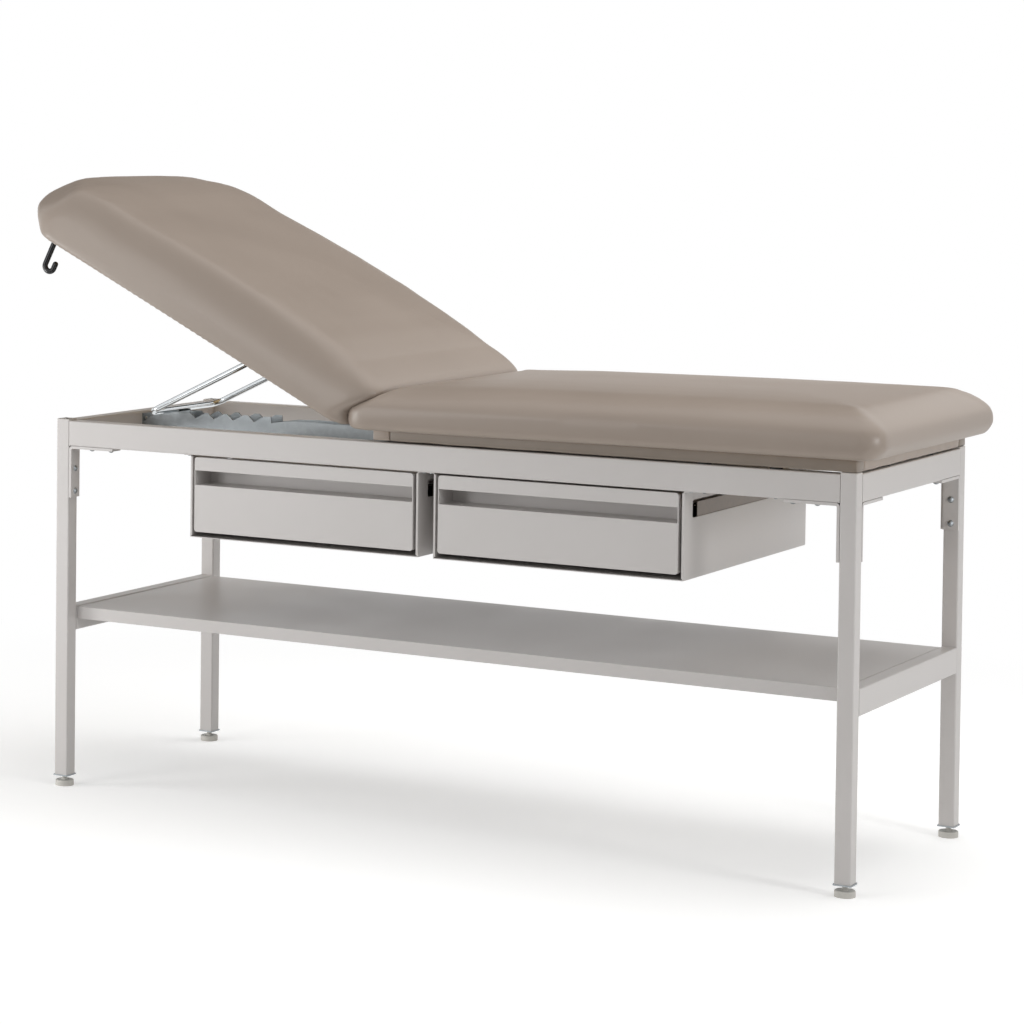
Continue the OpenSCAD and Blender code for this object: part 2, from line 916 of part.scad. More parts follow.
// Screws from below through the housing flanges into the front rail
module housing_screw_places() {
  edge = (flange_w + flange_bend) / 2 - housing_t / 2;
  for (k = [0, 1]) {
    x = housing_x + k * housing_step;
    for (sx = [x - edge, x + housing_w + edge])
      translate([sx, tube / 2, rail_z - housing_t]) rotate([180, 0, 0]) children();
  }
}

module housing_screws() {
  color(zinc) placed() both_sides() housing_screw_places()
    pan_screw(housing_screw_r, housing_screw_l, housing_screw_r * pan_head, pan_head_h);
}

// Places what is drawn at the inner face of the left wall on both walls of a housing
module on_walls(x) {
  translate([x + housing_t, 0, 0]) children();
  translate([x + housing_w - housing_t, 0, 0]) mirror([1, 0, 0]) children();
}

module slide_channel() {
  z0 = slide_z - slide_h / 2;
  across(slide_y, slide_y + slide_l) {
    translate([0, z0]) square([slide_t, slide_h]);
    translate([0, z0]) square([channel_reach, slide_t]);
    translate([0, z0 + slide_h - slide_t]) square([channel_reach, slide_t]);
  }
}

module slide_channels() {
  color(zinc) placed() for (k = [0, 1]) on_walls(housing_x + k * housing_step) slide_channel();
}

// Runner on the drawer's side, inside the channel with room for the balls
module slide_runner() {
  z0 = slide_z - runner_h / 2;
  across(slide_y, slide_y + slide_l) {
    translate([slide_w - slide_t, z0]) square([slide_t, runner_h]);
    translate([slide_t + runner_in, z0]) square([slide_w - slide_t - runner_in, slide_t]);
    translate([slide_t + runner_in, z0 + runner_h - slide_t])
      square([slide_w - slide_t - runner_in, slide_t]);
  }
}

module slide_runners_head() {
  color(zinc) placed() on_walls(housing_x) slide_runner();
}

module slide_runners_foot() {
  color(zinc) placed() on_walls(housing_x + housing_step) slide_runner();
}

// Cage with two rows of balls, between a channel and its runner
module ball_cage() {
  ball_x = slide_t + runner_in + ball_in;
  cage_x = slide_t + (runner_in - cage_t) / 2;
  race_z = slide_h / 2 - slide_t - race_gap / 2;
  row = (balls - 1) / 2;
  half = row * ball_pitch + cage_end;
  translate([0, slide_y + slide_l / 2, slide_z]) {
    block([cage_x, -half, -race_z - cage_t / 2], [cage_x + cage_t, half, race_z + cage_t / 2]);
    for (s = [-1, 1]) {
      block([cage_x, -half, s * race_z - cage_t / 2], [ball_x + ball_r, half, s * race_z + cage_t / 2]);
      for (k = [-row:row]) translate([ball_x, k * ball_pitch, s * race_z]) sphere(ball_r);
    }
  }
}

module ball_cages_head() {
  color(zinc) placed() on_walls(housing_x) ball_cage();
}

module ball_cages_foot() {
  color(zinc) placed() on_walls(housing_x + housing_step) ball_cage();
}

// Drawer front: folded sheet with a full-width finger recess, closed at both ends
module drawer_front(x) {
  mid = drawer_t / 2;
  y0 = front_y + mid;
  y1 = front_y + recess_d + mid;
  yr = front_y + front_return;
  x0 = x + (housing_w - front_w) / 2;
  x1 = x0 + front_w;
  intersection() {
    union() {
      along(x0, x1)
        strip([[yr, front_z + mid], [y0, front_z + mid], [y0, recess_z - mid], [y1, recess_z - mid],
               [y1, recess_top + mid], [y0, recess_top + mid], [y0, front_top - mid],
               [yr, front_top - mid]], drawer_t);
      for (xe = [x0, x1 - drawer_t]) block([xe, y0, front_z], [xe + drawer_t, yr, front_top]);
      for (xe = [x0, x1 - recess_end])
        block([xe, front_y, recess_z - drawer_t], [xe + recess_end, y1 + mid, recess_top + drawer_t]);
    }
    translate([x0, 0, 0]) across(0, front_y + recess_d + 2 * drawer_t) translate([0, front_z])
      rounded(front_w, front_h, front_r);
  }
}

module drawer_front_head() {
  color(steel) placed() drawer_front(housing_x);
}

module drawer_front_foot() {
  color(steel) placed() drawer_front(housing_x + housing_step);
}

// Drawer box: open tray behind the front, with its sides cut down under the recess
module drawer_box(x) {
  x0 = x + (housing_w - box_w) / 2;
  x1 = x0 + box_w;
  y0 = front_y + drawer_t;
  step_y = front_y + recess_d + 2 * drawer_t + gap;
  difference() {
    block([x0, y0, box_z], [x1, box_back, box_z + box_h]);
    block([x0 + drawer_t, y0 - over, box_z + drawer_t],
          [x1 - drawer_t, box_back - drawer_t, box_z + box_h + over]);
    block([x0 - over, y0 - over, box_z + box_low], [x1 + over, step_y, box_z + box_h + over]);
  }
}

module drawer_box_head() {
  color(steel) placed() drawer_box(housing_x);
}

module drawer_box_foot() {
  color(steel) placed() drawer_box(housing_x + housing_step);
}

// Riser screws come up through the rails: places are on the rails' underside
module riser_places() {
  for (d = riser_side_at) both_sides() translate([frame_l - d, tube / 2, rail_z]) children();
  for (s = [-1, 1]) {
    translate([cross_x + tube / 2, mid_y + s * riser_cross_at, rail_z]) children();
    translate([frame_l - tube / 2, mid_y + s * riser_cross_at, rail_z]) children();
  }
}

module riser_hole(r) {
  translate([0, 0, -over]) cylinder(h = riser_screw_l + over + gap, r = r);
}

module riser_side_battens() {
  color(vinyl) placed() difference() {
    both_sides() block([riser_x, 0, cap_top], [frame_l, riser_w, seat_z]);
    riser_places() riser_hole(riser_screw_r + run);
  }
}

module riser_cross_battens() {
  color(vinyl) placed() difference() {
    for (x = [riser_x, frame_l - riser_w])
      block([x, riser_w, cap_top], [x + riser_w, frame_w - riser_w, seat_z]);
    riser_places() riser_hole(riser_screw_r + run);
    hinge_screw_places() hole(hinge_screw_r + run, hinge_screw_l);
  }
}

module spacer_pads() {
  color(black) placed() riser_places() translate([0, 0, rail_h]) difference() {
    cylinder(h = cap_t, r = pad_r);
    translate([0, 0, -over]) cylinder(h = cap_t + 2 * over, r = riser_screw_r + hole_play);
  }
}

module riser_screws() {
  color(zinc) placed() riser_places() rotate([180, 0, 0])
    domed_bolt(riser_screw_r, riser_screw_l, riser_screw_r * dome_head, riser_head_h);
}

// Corner of a cushion's outline: part of an ellipse from the angle start
function corner(cx, cy, rx, ry, start) =
  [for (k = [0:corner_steps]) let (t = start + 90 * k / corner_steps) [cx + rx * cos(t), cy + ry * sin(t)]];

// Points between two corners, drawn in towards the middle of the side
function drawn_side(x0, x1, y) =
  [for (k = [1:side_steps - 1]) let (t = k / side_steps)
    [x0 + (x1 - x0) * t, y - sign(y) * draw_in * 4 * t * (1 - t)]];

// Outline of a cushion of length l, drawn in by d, with corner radii near x = 0 and far from it
function pad_plan(l, w, near, far, d) =
  let (nx = max(near[0] - d, least_r), ny = max(near[1] - d, least_r),
       fx = max(far[0] - d, least_r), fy = max(far[1] - d, least_r),
       x0 = d + nx, x1 = l - d - fx, top = w / 2 - d)
  concat(corner(x1, top - fy, fx, fy, 0), drawn_side(x1, x0, top), corner(x0, top - ny, nx, ny, 90),
         corner(x0, ny - top, nx, ny, 180), drawn_side(x0, x1, -top), corner(x1, fy - top, fx, fy, 270));

// Section of a cushion's edge: distance in from the outline and height, from the bottom up
function pad_profile(h, under, roll) =
  let (rise = h - crown - bulge_z, e = 2 / roll_power)
  concat(
    [for (k = [0:under_steps]) let (t = 90 * k / under_steps)
      [under * (1 - sin(t)), bulge_z * (1 - cos(t))]],
    [for (k = [1:roll_steps]) let (t = 90 * k / roll_steps)
      [roll * (1 - pow(cos(t), e)), bulge_z + rise * pow(sin(t), e)]],
    [for (k = [1:crown_steps]) let (s = k / crown_steps)
      [roll + crown_reach * s, h - crown * (1 - s) * (1 - s)]]);

// Share of the dome at x: 0 at both ends, 1 at the highest place
function dome_share(x, l, at) = let (t = (x / l - at) / (x / l < at ? at : 1 - at)) 1 - t * t;

// Cushion as one closed mesh of rings: corners near x = 0 and far from it,
// widths of the lower and upper roll, rise and place of the dome
module pad(l, w, h, near, far, rolls, dome) {
  rings = pad_profile(h, rolls[0], rolls[1]);
  n = len(pad_plan(l, w, near, far, 0));
  m = len(rings);
  points = concat(
    [for (p = rings, q = pad_plan(l, w, near, far, p[0]))
      [q[0], q[1], p[1] * (1 + dome[0] * dome_share(q[0], l, dome[1]) / h)]],
    [[l / 2, 0, 0], [l / 2, 0, h + dome[0] * dome_share(l / 2, l, dome[1])]]);
  sides = [for (i = [0:m - 2], j = [0:n - 1], half = [0, 1])
    let (a = i * n + j, b = i * n + (j + 1) % n, c = b + n, d = a + n) half ? [a, d, c] : [a, c, b]];
  bottom = [for (j = [0:n - 1]) [n * m, j, (j + 1) % n]];
  top = [for (j = [0:n - 1]) [n * m + 1, (m - 1) * n + (j + 1) % n, (m - 1) * n + j]];
  polyhedron(points, concat(sides, bottom, top));
}

// Seat cushion's outer form, larger all round by grow
module seat_form(grow) {
  translate([seat_x - grow, mid_y, seat_z - grow])
    pad(seat_l + 2 * grow, pad_w + 2 * grow, seat_h + 2 * grow, seat_corner, seat_corner,
        [seat_under, seat_roll], [seat_dome, seat_dome_at]);
}

module seat_board_form() {
  translate([seat_x, mid_y, 0]) linear_extrude(seat_board_t)
    polygon(pad_plan(seat_l, pad_w, seat_corner, seat_corner, seat_lip));
}

module seat_board() {
  color(wood) placed() translate([0, 0, seat_z]) seat_board_form();
}

module seat_cushion() {
  color(vinyl) placed() difference() {
    seat_form(0);
    translate([0, 0, seat_z]) seat_board_form();
    translate([0, 0, seat_z - over]) seat_board_form();
  }
}

// Places what is drawn in the backrest's own frame: x from the hinge to the head, z square to the board
module on_backrest() {
  translate([hinge_x, 0, hinge_top]) rotate([0, rest_angle, 0]) mirror([1, 0, 0]) children();
}

function back_plan(d) = pad_plan(back_l, pad_w, seat_corner, head_corner, d);

module back_form() {
  translate([nose_gap, mid_y, back_w0])
    pad(back_l, pad_w, back_h, seat_corner, head_corner,
        [back_under, back_roll], [back_dome, back_dome_at]);
}

// Section of the foam nose: what lies nearer the hinge than the firm part
module nose_region() {
  end_w = back_w0 + back_h;
  top = end_w + back_dome + over;
  top_u = heel_arc_u + (heel_u - heel_arc_u) * (top - heel_w) / (end_w - heel_w);
  across(mid_y - pad_w / 2 - over, mid_y + pad_w / 2 + over) {
    circle(heel_r, $fn = 96);
    polygon([[0, 0], [heel_arc_u, heel_w], [top_u, top], [0, top]]);
  }
}

// Outline of the board and of the space for the battens
module back_board_outline() {
  intersection() {
    translate([nose_gap, mid_y]) polygon(back_plan(back_lip));
    translate([pocket_u, mid_y - pad_w]) square([back_l, 2 * pad_w]);
  }
}

module backrest_cushion() {
  color(vinyl) placed() on_backrest() difference() {
    back_form();
    nose_region();
    translate([0, 0, back_w0 - over]) linear_extrude(riser_h + board_t + over) back_board_outline();
  }
}

// Soft end of the cushion, in the shape that the seat cushion presses it to
module backrest_nose() {
  color(vinyl) placed() difference() {
    on_backrest() intersection() {
      back_form();
      nose_region();
    }
    seat_form(nose_clear);
  }
}

module backrest_board() {
  color(wood) placed() on_backrest() difference() {
    translate([0, 0, back_board_w]) linear_extrude(board_t) back_board_outline();
    prop_screw_places() hole(prop_screw_r + run, prop_screw_l);
    hook_places() translate([0, 0, -hook_stud_l]) cylinder(h = 2 * hook_stud_l, r = hook_stud_r + run);
  }
}

module backrest_side_battens() {
  color(wood) placed() on_backrest() both_sides()
    block([pocket_u, back_batten_y + draw_in, back_w0],
          [back_batten_end, back_batten_y + riser_w, back_board_w]);
}

module backrest_cross_battens() {
  y0 = back_batten_y + riser_w;
  color(wood) placed() on_backrest() difference() {
    for (u = [pocket_u, head_batten_u])
      block([u, y0, back_w0], [u + riser_w, frame_w - y0, back_board_w]);
    strap_screw_places() hole(strap_screw_r + run, strap_screw_l);
  }
}

// Hinges: a plate with two ears on the riser, and a strap that passes under the foam nose
module at_hinges() {
  for (s = [-1, 1]) translate([0, mid_y + s * hinge_at, 0]) children();
}

module hinge_screw_places() {
  screw_y = (hinge_w / 2 + ear_t + plate_w / 2) / 2;
  at_hinges() for (s = [-1, 1])
    translate([riser_x - plate_t, s * screw_y, cap_top + riser_h / 2]) rotate([0, -90, 0]) children();
}

module hinge_brackets() {
  z0 = cap_top + (riser_h - plate_h) / 2;
  color(zinc) placed() difference() {
    at_hinges() {
      block([riser_x - plate_t, -plate_w / 2, z0], [riser_x, plate_w / 2, z0 + plate_h]);
      for (y = [-hinge_w / 2 - ear_t, hinge_w / 2]) across(y, y + ear_t) {
        translate([hinge_x, hinge_top]) circle(ear_r);
        translate([hinge_x, hinge_top - ear_r]) square([riser_x - plate_t / 2 - hinge_x, 2 * ear_r]);
      }
    }
    at_hinges() across(-plate_w, plate_w) translate([hinge_x, hinge_top]) circle(hinge_pin_r + run);
    hinge_screw_places() hole(hinge_screw_r + hole_play, plate_t + over);
  }
}

module hinge_bracket_screws() {
  color(zinc) placed() hinge_screw_places()
    pan_screw(hinge_screw_r, hinge_screw_l - over, hinge_screw_r * slim_head, pan_head_h);
}

module hinge_pins() {
  half = hinge_w / 2 + ear_t + gap;
  color(zinc) placed() at_hinges() translate([hinge_x, 0, hinge_top]) rotate([90, 0, 0]) {
    cylinder(h = 2 * half, r = hinge_pin_r, center = true);
    for (s = [-1, 1]) translate([0, 0, s * (half + pin_head_h / 2)])
      cylinder(h = pin_head_h, r = hinge_pin_r * pin_head, center = true);
  }
}

module hinge_straps() {
  color(zinc) placed() on_backrest() difference() {
    at_hinges() across(-hinge_w / 2 + gap, hinge_w / 2 - gap) difference() {
      union() {
        circle(barrel_r);
        bent_bar(strap_path, strap_t);
      }
      circle(hinge_pin_r + run);
    }
    strap_screw_places() hole(strap_screw_r + hole_play, strap_t + over);
  }
}

module strap_screw_places() {
  at_hinges() for (u = strap_screw_at, s = [-1, 1])
    translate([pocket_u + u, s * hinge_w / 4, back_w0 - strap_t]) rotate([180, 0, 0]) children();
}

module strap_screws() {
  color(zinc) placed() on_backrest() strap_screw_places()
    pan_screw(strap_screw_r, strap_screw_l - over, strap_screw_r * pan_head, pan_head_h);
}

// Notched rack: a channel from the head rail to the cross member.
// A notch has a steep left flank and a longer right one.
// The last has an upright wall and a sloping floor.
function notch_at(k) = notch_x + k * notch_pitch + notch_grow * k * (k - 1) / 2;

function notch_points(k) =
  let (x = notch_at(k), low = tooth_z - notch_d)
  k < notches - 1
  ? [[x - flank_left, min(tooth_z, saddle_z + first_crest + k * crest_rise)], [x, low],
     [x + crest_at, tooth_z], [x + crest_at + crest_flat, tooth_z]]
  : [[x - last_wide - over, tooth_z], [x - last_wide, low], [x + last_floor, low + last_rise]];

module rack_side() {
  polygon(concat(
    [[rack_x0, rack_z]],
    [for (p = ramp) [p[0], frame_h + p[1]]],
    [[prop_x, saddle_z], [prop_x + saddle_l, saddle_z + saddle_rise]],
    [for (k = [0:notches - 1], p = notch_points(k)) p],
    [for (p = hump) [p[0], frame_h + p[1]]],
    [[rack_x1, frame_h - rack_tail], [rack_x1, rack_z]]));
}

module rack_channel() {
  y0 = mid_y - rack_w / 2;
  color(zinc) placed() difference() {
    across(y0, y0 + rack_w) rack_side();
    block([rack_x0 - over, y0 + rack_t, rack_z + rack_t],
          [rack_x1 + over, y0 + rack_w - rack_t, frame_h + rail_h]);
  }
}

// Bolts of the rack's end plates: 0 at the head rail, 1 at the cross member
module rack_bolt_places(end) {
  x = end ? rack_x1 : rack_x0;
  turn = end ? -90 : 90;
  for (s = [-1, 1]) translate([x, mid_y + s * rack_w / 4, rack_z + rack_rise])
    rotate([0, turn, 0]) children();
}

module rack_end_plates() {
  y0 = mid_y - rack_w / 2;
  color(zinc) placed() difference() {
    for (x = [tube, rack_x1])
      block([x, y0, rack_z], [x + rack_end_t, y0 + rack_w, frame_h - rack_end_drop]);
    for (end = [0, 1]) rack_bolt_places(end) hole(rack_bolt_r + hole_play, rack_end_t + over);
  }
}

module rack_bolts() {
  color(zinc) placed() for (end = [0, 1]) rack_bolt_places(end)
    domed_bolt(rack_bolt_r, rack_bolt_l, rack_bolt_r * dome_head, rack_bolt_h);
}

// Quarter bend of the bar: from the origin towards +x, turning to +y
module rod_bend(bend, r) {
  translate([0, bend, 0]) rotate([0, 0, -90]) rotate_extrude(angle = 90) translate([bend, 0]) circle(r);
}

// Straight rod from the origin along +x
module rod(length, r) {
  rotate([0, 90, 0]) cylinder(h = length, r = r);
}

// One half of the prop bar: x from the pivot to the rack, y outwards from the middle of the bar
module prop_half() {
  y = prop_w / 2;
  translate([0, y + prop_turn, 0]) rotate([0, 0, 90]) rod(prop_stub, prop_r);
  translate([prop_turn, y, 0]) rotate([0, 0, 180]) mirror([0, 1, 0]) rod_bend(prop_turn, prop_r);
  translate([prop_turn, y, 0]) rod(prop_l - prop_turn - prop_bend, prop_r);
  translate([prop_l - prop_bend, y, 0]) mirror([0, 1, 0]) rod_bend(prop_bend, prop_r);
  translate([prop_l, 0, 0]) rotate([0, 0, 90]) rod(y - prop_bend, prop_r);
}

module prop_bar() {
  color(chrome) placed() translate([prop_px, mid_y, prop_pz]) rotate([0, -prop_angle, 0])
    mirror([1, 0, 0]) {
    prop_half();
    mirror([0, 1, 0]) prop_half();
  }
}

// Brackets under the board that hold the bar's turned ends
module prop_brackets() {
  base_y = prop_ear_y + prop_ear_t - prop_base_w;
  color(zinc) placed() on_backrest() translate([0, mid_y, 0]) for (m = [0, 1]) mirror([0, m, 0]) difference() {
    union() {
      block([prop_pivot_u - prop_base_l / 2, base_y, back_board_w - prop_base_t],
            [prop_pivot_u + prop_base_l / 2, base_y + prop_base_w, back_board_w]);
      across(prop_ear_y, prop_ear_y + prop_ear_t) {
        translate([prop_pivot_u, 0]) circle(prop_ear_r);
        translate([prop_pivot_u - prop_ear_r, 0]) square([2 * prop_ear_r, back_board_w - prop_base_t / 2]);
      }
    }
    across(prop_ear_y - over, prop_ear_y + prop_ear_t + over) translate([prop_pivot_u, 0]) circle(prop_r + run);
    translate([0, -mid_y, 0]) prop_screw_places() hole(prop_screw_r + hole_play, prop_base_t + over);
  }
}

module prop_screw_places() {
  y = prop_ear_y + prop_ear_t - prop_base_w / 2;
  du = prop_base_l / 2 - prop_screw_in;
  for (s = [-1, 1], t = [-1, 1])
    translate([prop_pivot_u + t * du, mid_y + s * y, back_board_w - prop_base_t]) rotate([180, 0, 0])
      children();
}

module prop_screws() {
  color(zinc) placed() on_backrest() prop_screw_places()
    pan_screw(prop_screw_r, prop_screw_l - over, prop_screw_r * pan_head, pan_head_h);
}

// Coated hooks under the head end
module hook_places() {
  both_sides() translate([hook_u, hook_y, back_board_w]) children();
}

module hooks() {
  shank = back_board_w + hook_drop;
  color(black) placed() on_backrest() hook_places() {
    translate([0, 0, -gap]) cylinder(h = hook_stud_l - over + gap, r = hook_stud_r);
    translate([0, 0, -hook_base_t]) cylinder(h = hook_base_t, r = hook_base_r);
    translate([0, 0, -shank]) cylinder(h = shank, r = hook_r);
    translate([-hook_bend, 0, -shank]) rotate([-90, 0, 0]) rotate_extrude(angle = 180)
      translate([hook_bend, 0]) circle(hook_r);
    translate([-2 * hook_bend, 0, -shank]) cylinder(h = hook_tip, r = hook_r);
    translate([-2 * hook_bend, 0, -shank + hook_tip]) sphere(hook_r);
  }
}

leg_front_head();
leg_front_foot();
leg_back_head();
leg_back_foot();
leg_caps();
top_rail_head();
top_rail_foot();
low_rail_head();
low_rail_foot();
side_rail_front();
side_rail_back();
cross_member();
corner_brackets();
bracket_bolts();
foot_inserts();
glide_front_head();
glide_front_foot();
glide_back_head();
glide_back_foot();
shelf_pan();
shelf_angles();
shelf_stiffener();
shelf_screws();
housing_head();
housing_foot();
housing_screws();
slide_channels();
drawer_front_head();
drawer_front_foot();
drawer_box_head();
drawer_box_foot();
slide_runners_head();
slide_runners_foot();
ball_cages_head();
ball_cages_foot();
riser_side_battens();
riser_cross_battens();
spacer_pads();
riser_screws();
seat_board();
seat_cushion();
hinge_brackets();
hinge_bracket_screws();
hinge_pins();
hinge_straps();
strap_screws();
backrest_board();
backrest_side_battens();
backrest_cross_battens();
backrest_cushion();
backrest_nose();
hooks();
rack_channel();
rack_end_plates();
rack_bolts();
prop_bar();
prop_brackets();
prop_screws();
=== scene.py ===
# %% [markdown]
# # A treatment table, dressed for its picture
# The steel, the hinges, the drawers and the prop bar come ready made and at their real size.
# This script adds what they lack: upholstery that looks stuffed, finishes that look like paint,
# zinc, chrome and vinyl, a studio and a camera. Lengths are metres, and a size is written as so many
# times MM. The floor is at z = 0, the foot end is at +x and the drawers open towards -y.

# %% Load the table
import json
import math
import bmesh
import bpy
import numpy as np
from mathutils import Matrix, Vector
from mathutils import noise as field


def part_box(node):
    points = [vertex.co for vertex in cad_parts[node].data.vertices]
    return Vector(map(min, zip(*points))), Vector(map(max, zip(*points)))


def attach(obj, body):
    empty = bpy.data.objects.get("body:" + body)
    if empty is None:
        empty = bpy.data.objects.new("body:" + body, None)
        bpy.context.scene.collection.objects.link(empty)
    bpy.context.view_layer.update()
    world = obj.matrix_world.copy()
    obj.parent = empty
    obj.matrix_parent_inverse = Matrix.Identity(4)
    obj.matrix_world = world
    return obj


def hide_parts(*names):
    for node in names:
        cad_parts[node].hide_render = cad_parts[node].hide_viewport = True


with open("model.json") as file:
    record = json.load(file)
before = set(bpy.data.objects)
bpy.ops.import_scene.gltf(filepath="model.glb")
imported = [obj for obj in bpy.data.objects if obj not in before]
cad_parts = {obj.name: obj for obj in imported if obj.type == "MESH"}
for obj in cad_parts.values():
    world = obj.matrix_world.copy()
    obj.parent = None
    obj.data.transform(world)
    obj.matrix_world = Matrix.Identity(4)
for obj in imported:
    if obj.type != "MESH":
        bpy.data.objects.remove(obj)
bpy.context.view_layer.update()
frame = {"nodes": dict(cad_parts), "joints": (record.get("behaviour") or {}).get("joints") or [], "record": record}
nodes = frame["nodes"]
MM = 0.001

# %% [markdown]
# ## Two small helpers for materials
# Paint makers give colours as sRGB hex codes, while shaders count in linear light, so one function
# turns the one into the other. The second adds a node: settings go in by name, and each entry of
# `sockets` is either a plain value or the output of another node.

# %% Colour and node helpers
def linear(code):
    """sRGB hex code as linear RGBA."""
    channels = [int(code[i:i + 2], 16) / 255 for i in (1, 3, 5)]
    return [c / 12.92 if c <= 0.04045 else ((c + 0.055) / 1.055) ** 2.4 for c in channels] + [1]


def add_node(tree, kind, sockets=None, **settings):
    new = tree.nodes.new("ShaderNode" + kind)
    for name, value in settings.items():
        setattr(new, name, value)
    for name, value in (sockets or {}).items():
        if isinstance(value, bpy.types.NodeSocket):
            tree.links.new(value, new.inputs[name])
        else:
            new.inputs[name].default_value = value
    return new


def start_material(name, **surface):
    """New material with a Principled shader; returns it, its tree, the shader and the object position."""
    material = bpy.data.materials.new(name)
    material.use_nodes = True
    tree = material.node_tree
    tree.nodes.clear()
    shader = add_node(tree, "BsdfPrincipled", surface)
    add_node(tree, "OutputMaterial", {"Surface": shader.outputs["BSDF"]})
    place = add_node(tree, "TexCoord").outputs["Object"]
    return material, tree, shader, place


def bump_from(tree, shader, height, depth_mm, strength=1.0):
    """Gives the shader a relief of the given depth from a height between 0 and 1."""
    bump = add_node(tree, "Bump", {"Height": height, "Distance": depth_mm * MM, "Strength": strength})
    tree.links.new(bump.outputs["Normal"], shader.inputs["Normal"])


def tone(tree, factor, dark, light):
    """Colour between two hex codes, by a factor between 0 and 1."""
    mix = add_node(tree, "Mix", {"Factor": factor}, data_type="RGBA")
    mix.inputs["A"].default_value = linear(dark)
    mix.inputs["B"].default_value = linear(light)
    return mix.outputs["Result"]


# %% [markdown]
# ## Powder-coated steel
# The frame, the shelf and the drawers are mild steel, sprayed with dry powder and baked. The coat
# melts into a satin skin with a faint orange peel, about two millimetres from dimple to dimple, and
# it looks a trace darker where it is thin. Noise at that size makes the relief, and a slow noise
# shifts tone and gloss over a hand's width.

# %% Powder coat
def powder_coat(name, dark, light):
    dimple, hand_width, relief_mm = 2.2 * MM, 180 * MM, 0.03
    material, tree, shader, place = start_material(name, IOR=1.5)
    peel = add_node(tree, "TexNoise", {"Vector": place, "Scale": 1 / dimple, "Detail": 2.0})
    drift = add_node(tree, "TexNoise", {"Vector": place, "Scale": 1 / hand_width, "Detail": 3.0})
    gloss = add_node(tree, "MapRange", {"Value": drift.outputs["Fac"], "To Min": 0.3, "To Max": 0.42})
    tree.links.new(tone(tree, drift.outputs["Fac"], dark, light), shader.inputs["Base Color"])
    tree.links.new(gloss.outputs["Result"], shader.inputs["Roughness"])
    bump_from(tree, shader, peel.outputs["Fac"], relief_mm, 0.6)
    return material


steel_coat = powder_coat("powder_coated_steel", "#c4c0bd", "#cbc7c5")
print("made", steel_coat.name)

# %% [markdown]
# ## Zinc, chrome and coated wire
# The rack, the hinges and the inserts are zinc plated: a bluish grey metal with soft rolling lines
# and cloudy crystals. The drawer slides are the same zinc plated steel, given a darker brown grey as
# painted shade for their place recessed in the housing. The prop bar is chromed tube, almost a mirror.
# The hooks are dipped in black plastisol, and the glides are pale moulded nylon.

# %% Zinc plate
def zinc_plate(name, dark, light):
    crystal_size, line_length, line_ratio, relief_mm = 9 * MM, 30 * MM, 60, 0.03
    material, tree, shader, place = start_material(name, Metallic=1.0)
    crystal = add_node(tree, "TexVoronoi", {"Vector": place, "Scale": 1 / crystal_size})
    stretch = add_node(tree, "Mapping", {"Vector": place, "Scale": (1, line_ratio, line_ratio)})
    lines = add_node(tree, "TexNoise", {"Vector": stretch.outputs["Vector"], "Scale": 1 / line_length,
                                        "Detail": 3.0})
    cloud = add_node(tree, "Mix", {"Factor": 0.35, "A": lines.outputs["Fac"], "B": crystal.outputs["Color"]},
                     data_type="FLOAT")
    gloss = add_node(tree, "MapRange", {"Value": cloud.outputs["Result"], "To Min": 0.28, "To Max": 0.5})
    tree.links.new(tone(tree, cloud.outputs["Result"], dark, light), shader.inputs["Base Color"])
    tree.links.new(gloss.outputs["Result"], shader.inputs["Roughness"])
    bump_from(tree, shader, lines.outputs["Fac"], relief_mm, 0.5)
    return material


zinc = zinc_plate("zinc_plated_steel", "#8f9598", "#acb1b4")
# The slides' zinc is made darker and browner: painted shade for their place recessed in the housing.
shaded_slide_zinc = zinc_plate("slide_zinc_painted_shade", "#5d554e", "#857b72")


# %% Chrome
def chrome_plate():
    haze_size = 25 * MM
    material, tree, shader, place = start_material("chromed_tube", Metallic=1.0)
    haze = add_node(tree, "TexNoise", {"Vector": place, "Scale": 1 / haze_size, "Detail": 4.0})
    gloss = add_node(tree, "MapRange", {"Value": haze.outputs["Fac"], "To Min": 0.04, "To Max": 0.14})
    tree.links.new(tone(tree, haze.outputs["Fac"], "#d2d7da", "#e2e6e8"), shader.inputs["Base Color"])
    tree.links.new(gloss.outputs["Result"], shader.inputs["Roughness"])
    return material


chrome = chrome_plate()


# %% Moulded and dipped plastics
def moulded(name, dark, light, grain_mm, depth_mm, rough):
    """Plastic with an even grain; its roughness drifts a little about `rough`."""
    material, tree, shader, place = start_material(name, IOR=1.46)
    grain = add_node(tree, "TexNoise", {"Vector": place, "Scale": 1 / (grain_mm * MM), "Detail": 3.0})
    gloss = add_node(tree, "MapRange", {"Value": grain.outputs["Fac"], "To Min": rough - 0.06,
                                        "To Max": rough + 0.06})
    tree.links.new(tone(tree, grain.outputs["Fac"], dark, light), shader.inputs["Base Color"])
    tree.links.new(gloss.outputs["Result"], shader.inputs["Roughness"])
    bump_from(tree, shader, grain.outputs["Fac"], depth_mm, 0.6)
    return material


glide_nylon = moulded("moulded_nylon", "#bdbab3", "#cfccc6", 1.5, 0.03, 0.45)
plastisol = moulded("dipped_plastisol", "#0d0d0f", "#18181b", 6.0, 0.15, 0.2)
pad_rubber = moulded("pressed_rubber", "#1a1a1b", "#262627", 0.8, 0.05, 0.7)
cap_plastic = moulded("moulded_cap_plastic", "#c4c0bc", "#cdc9c6", 1.2, 0.02, 0.42)
print("made", zinc.name, chrome.name, glide_nylon.name, plastisol.name, pad_rubber.name)

# %% [markdown]
# ## Birch plywood
# The boards and the battens show only from below. Plywood has long soft grain lines with a slight
# waver, so a noise is stretched along the board and warped by a second one.

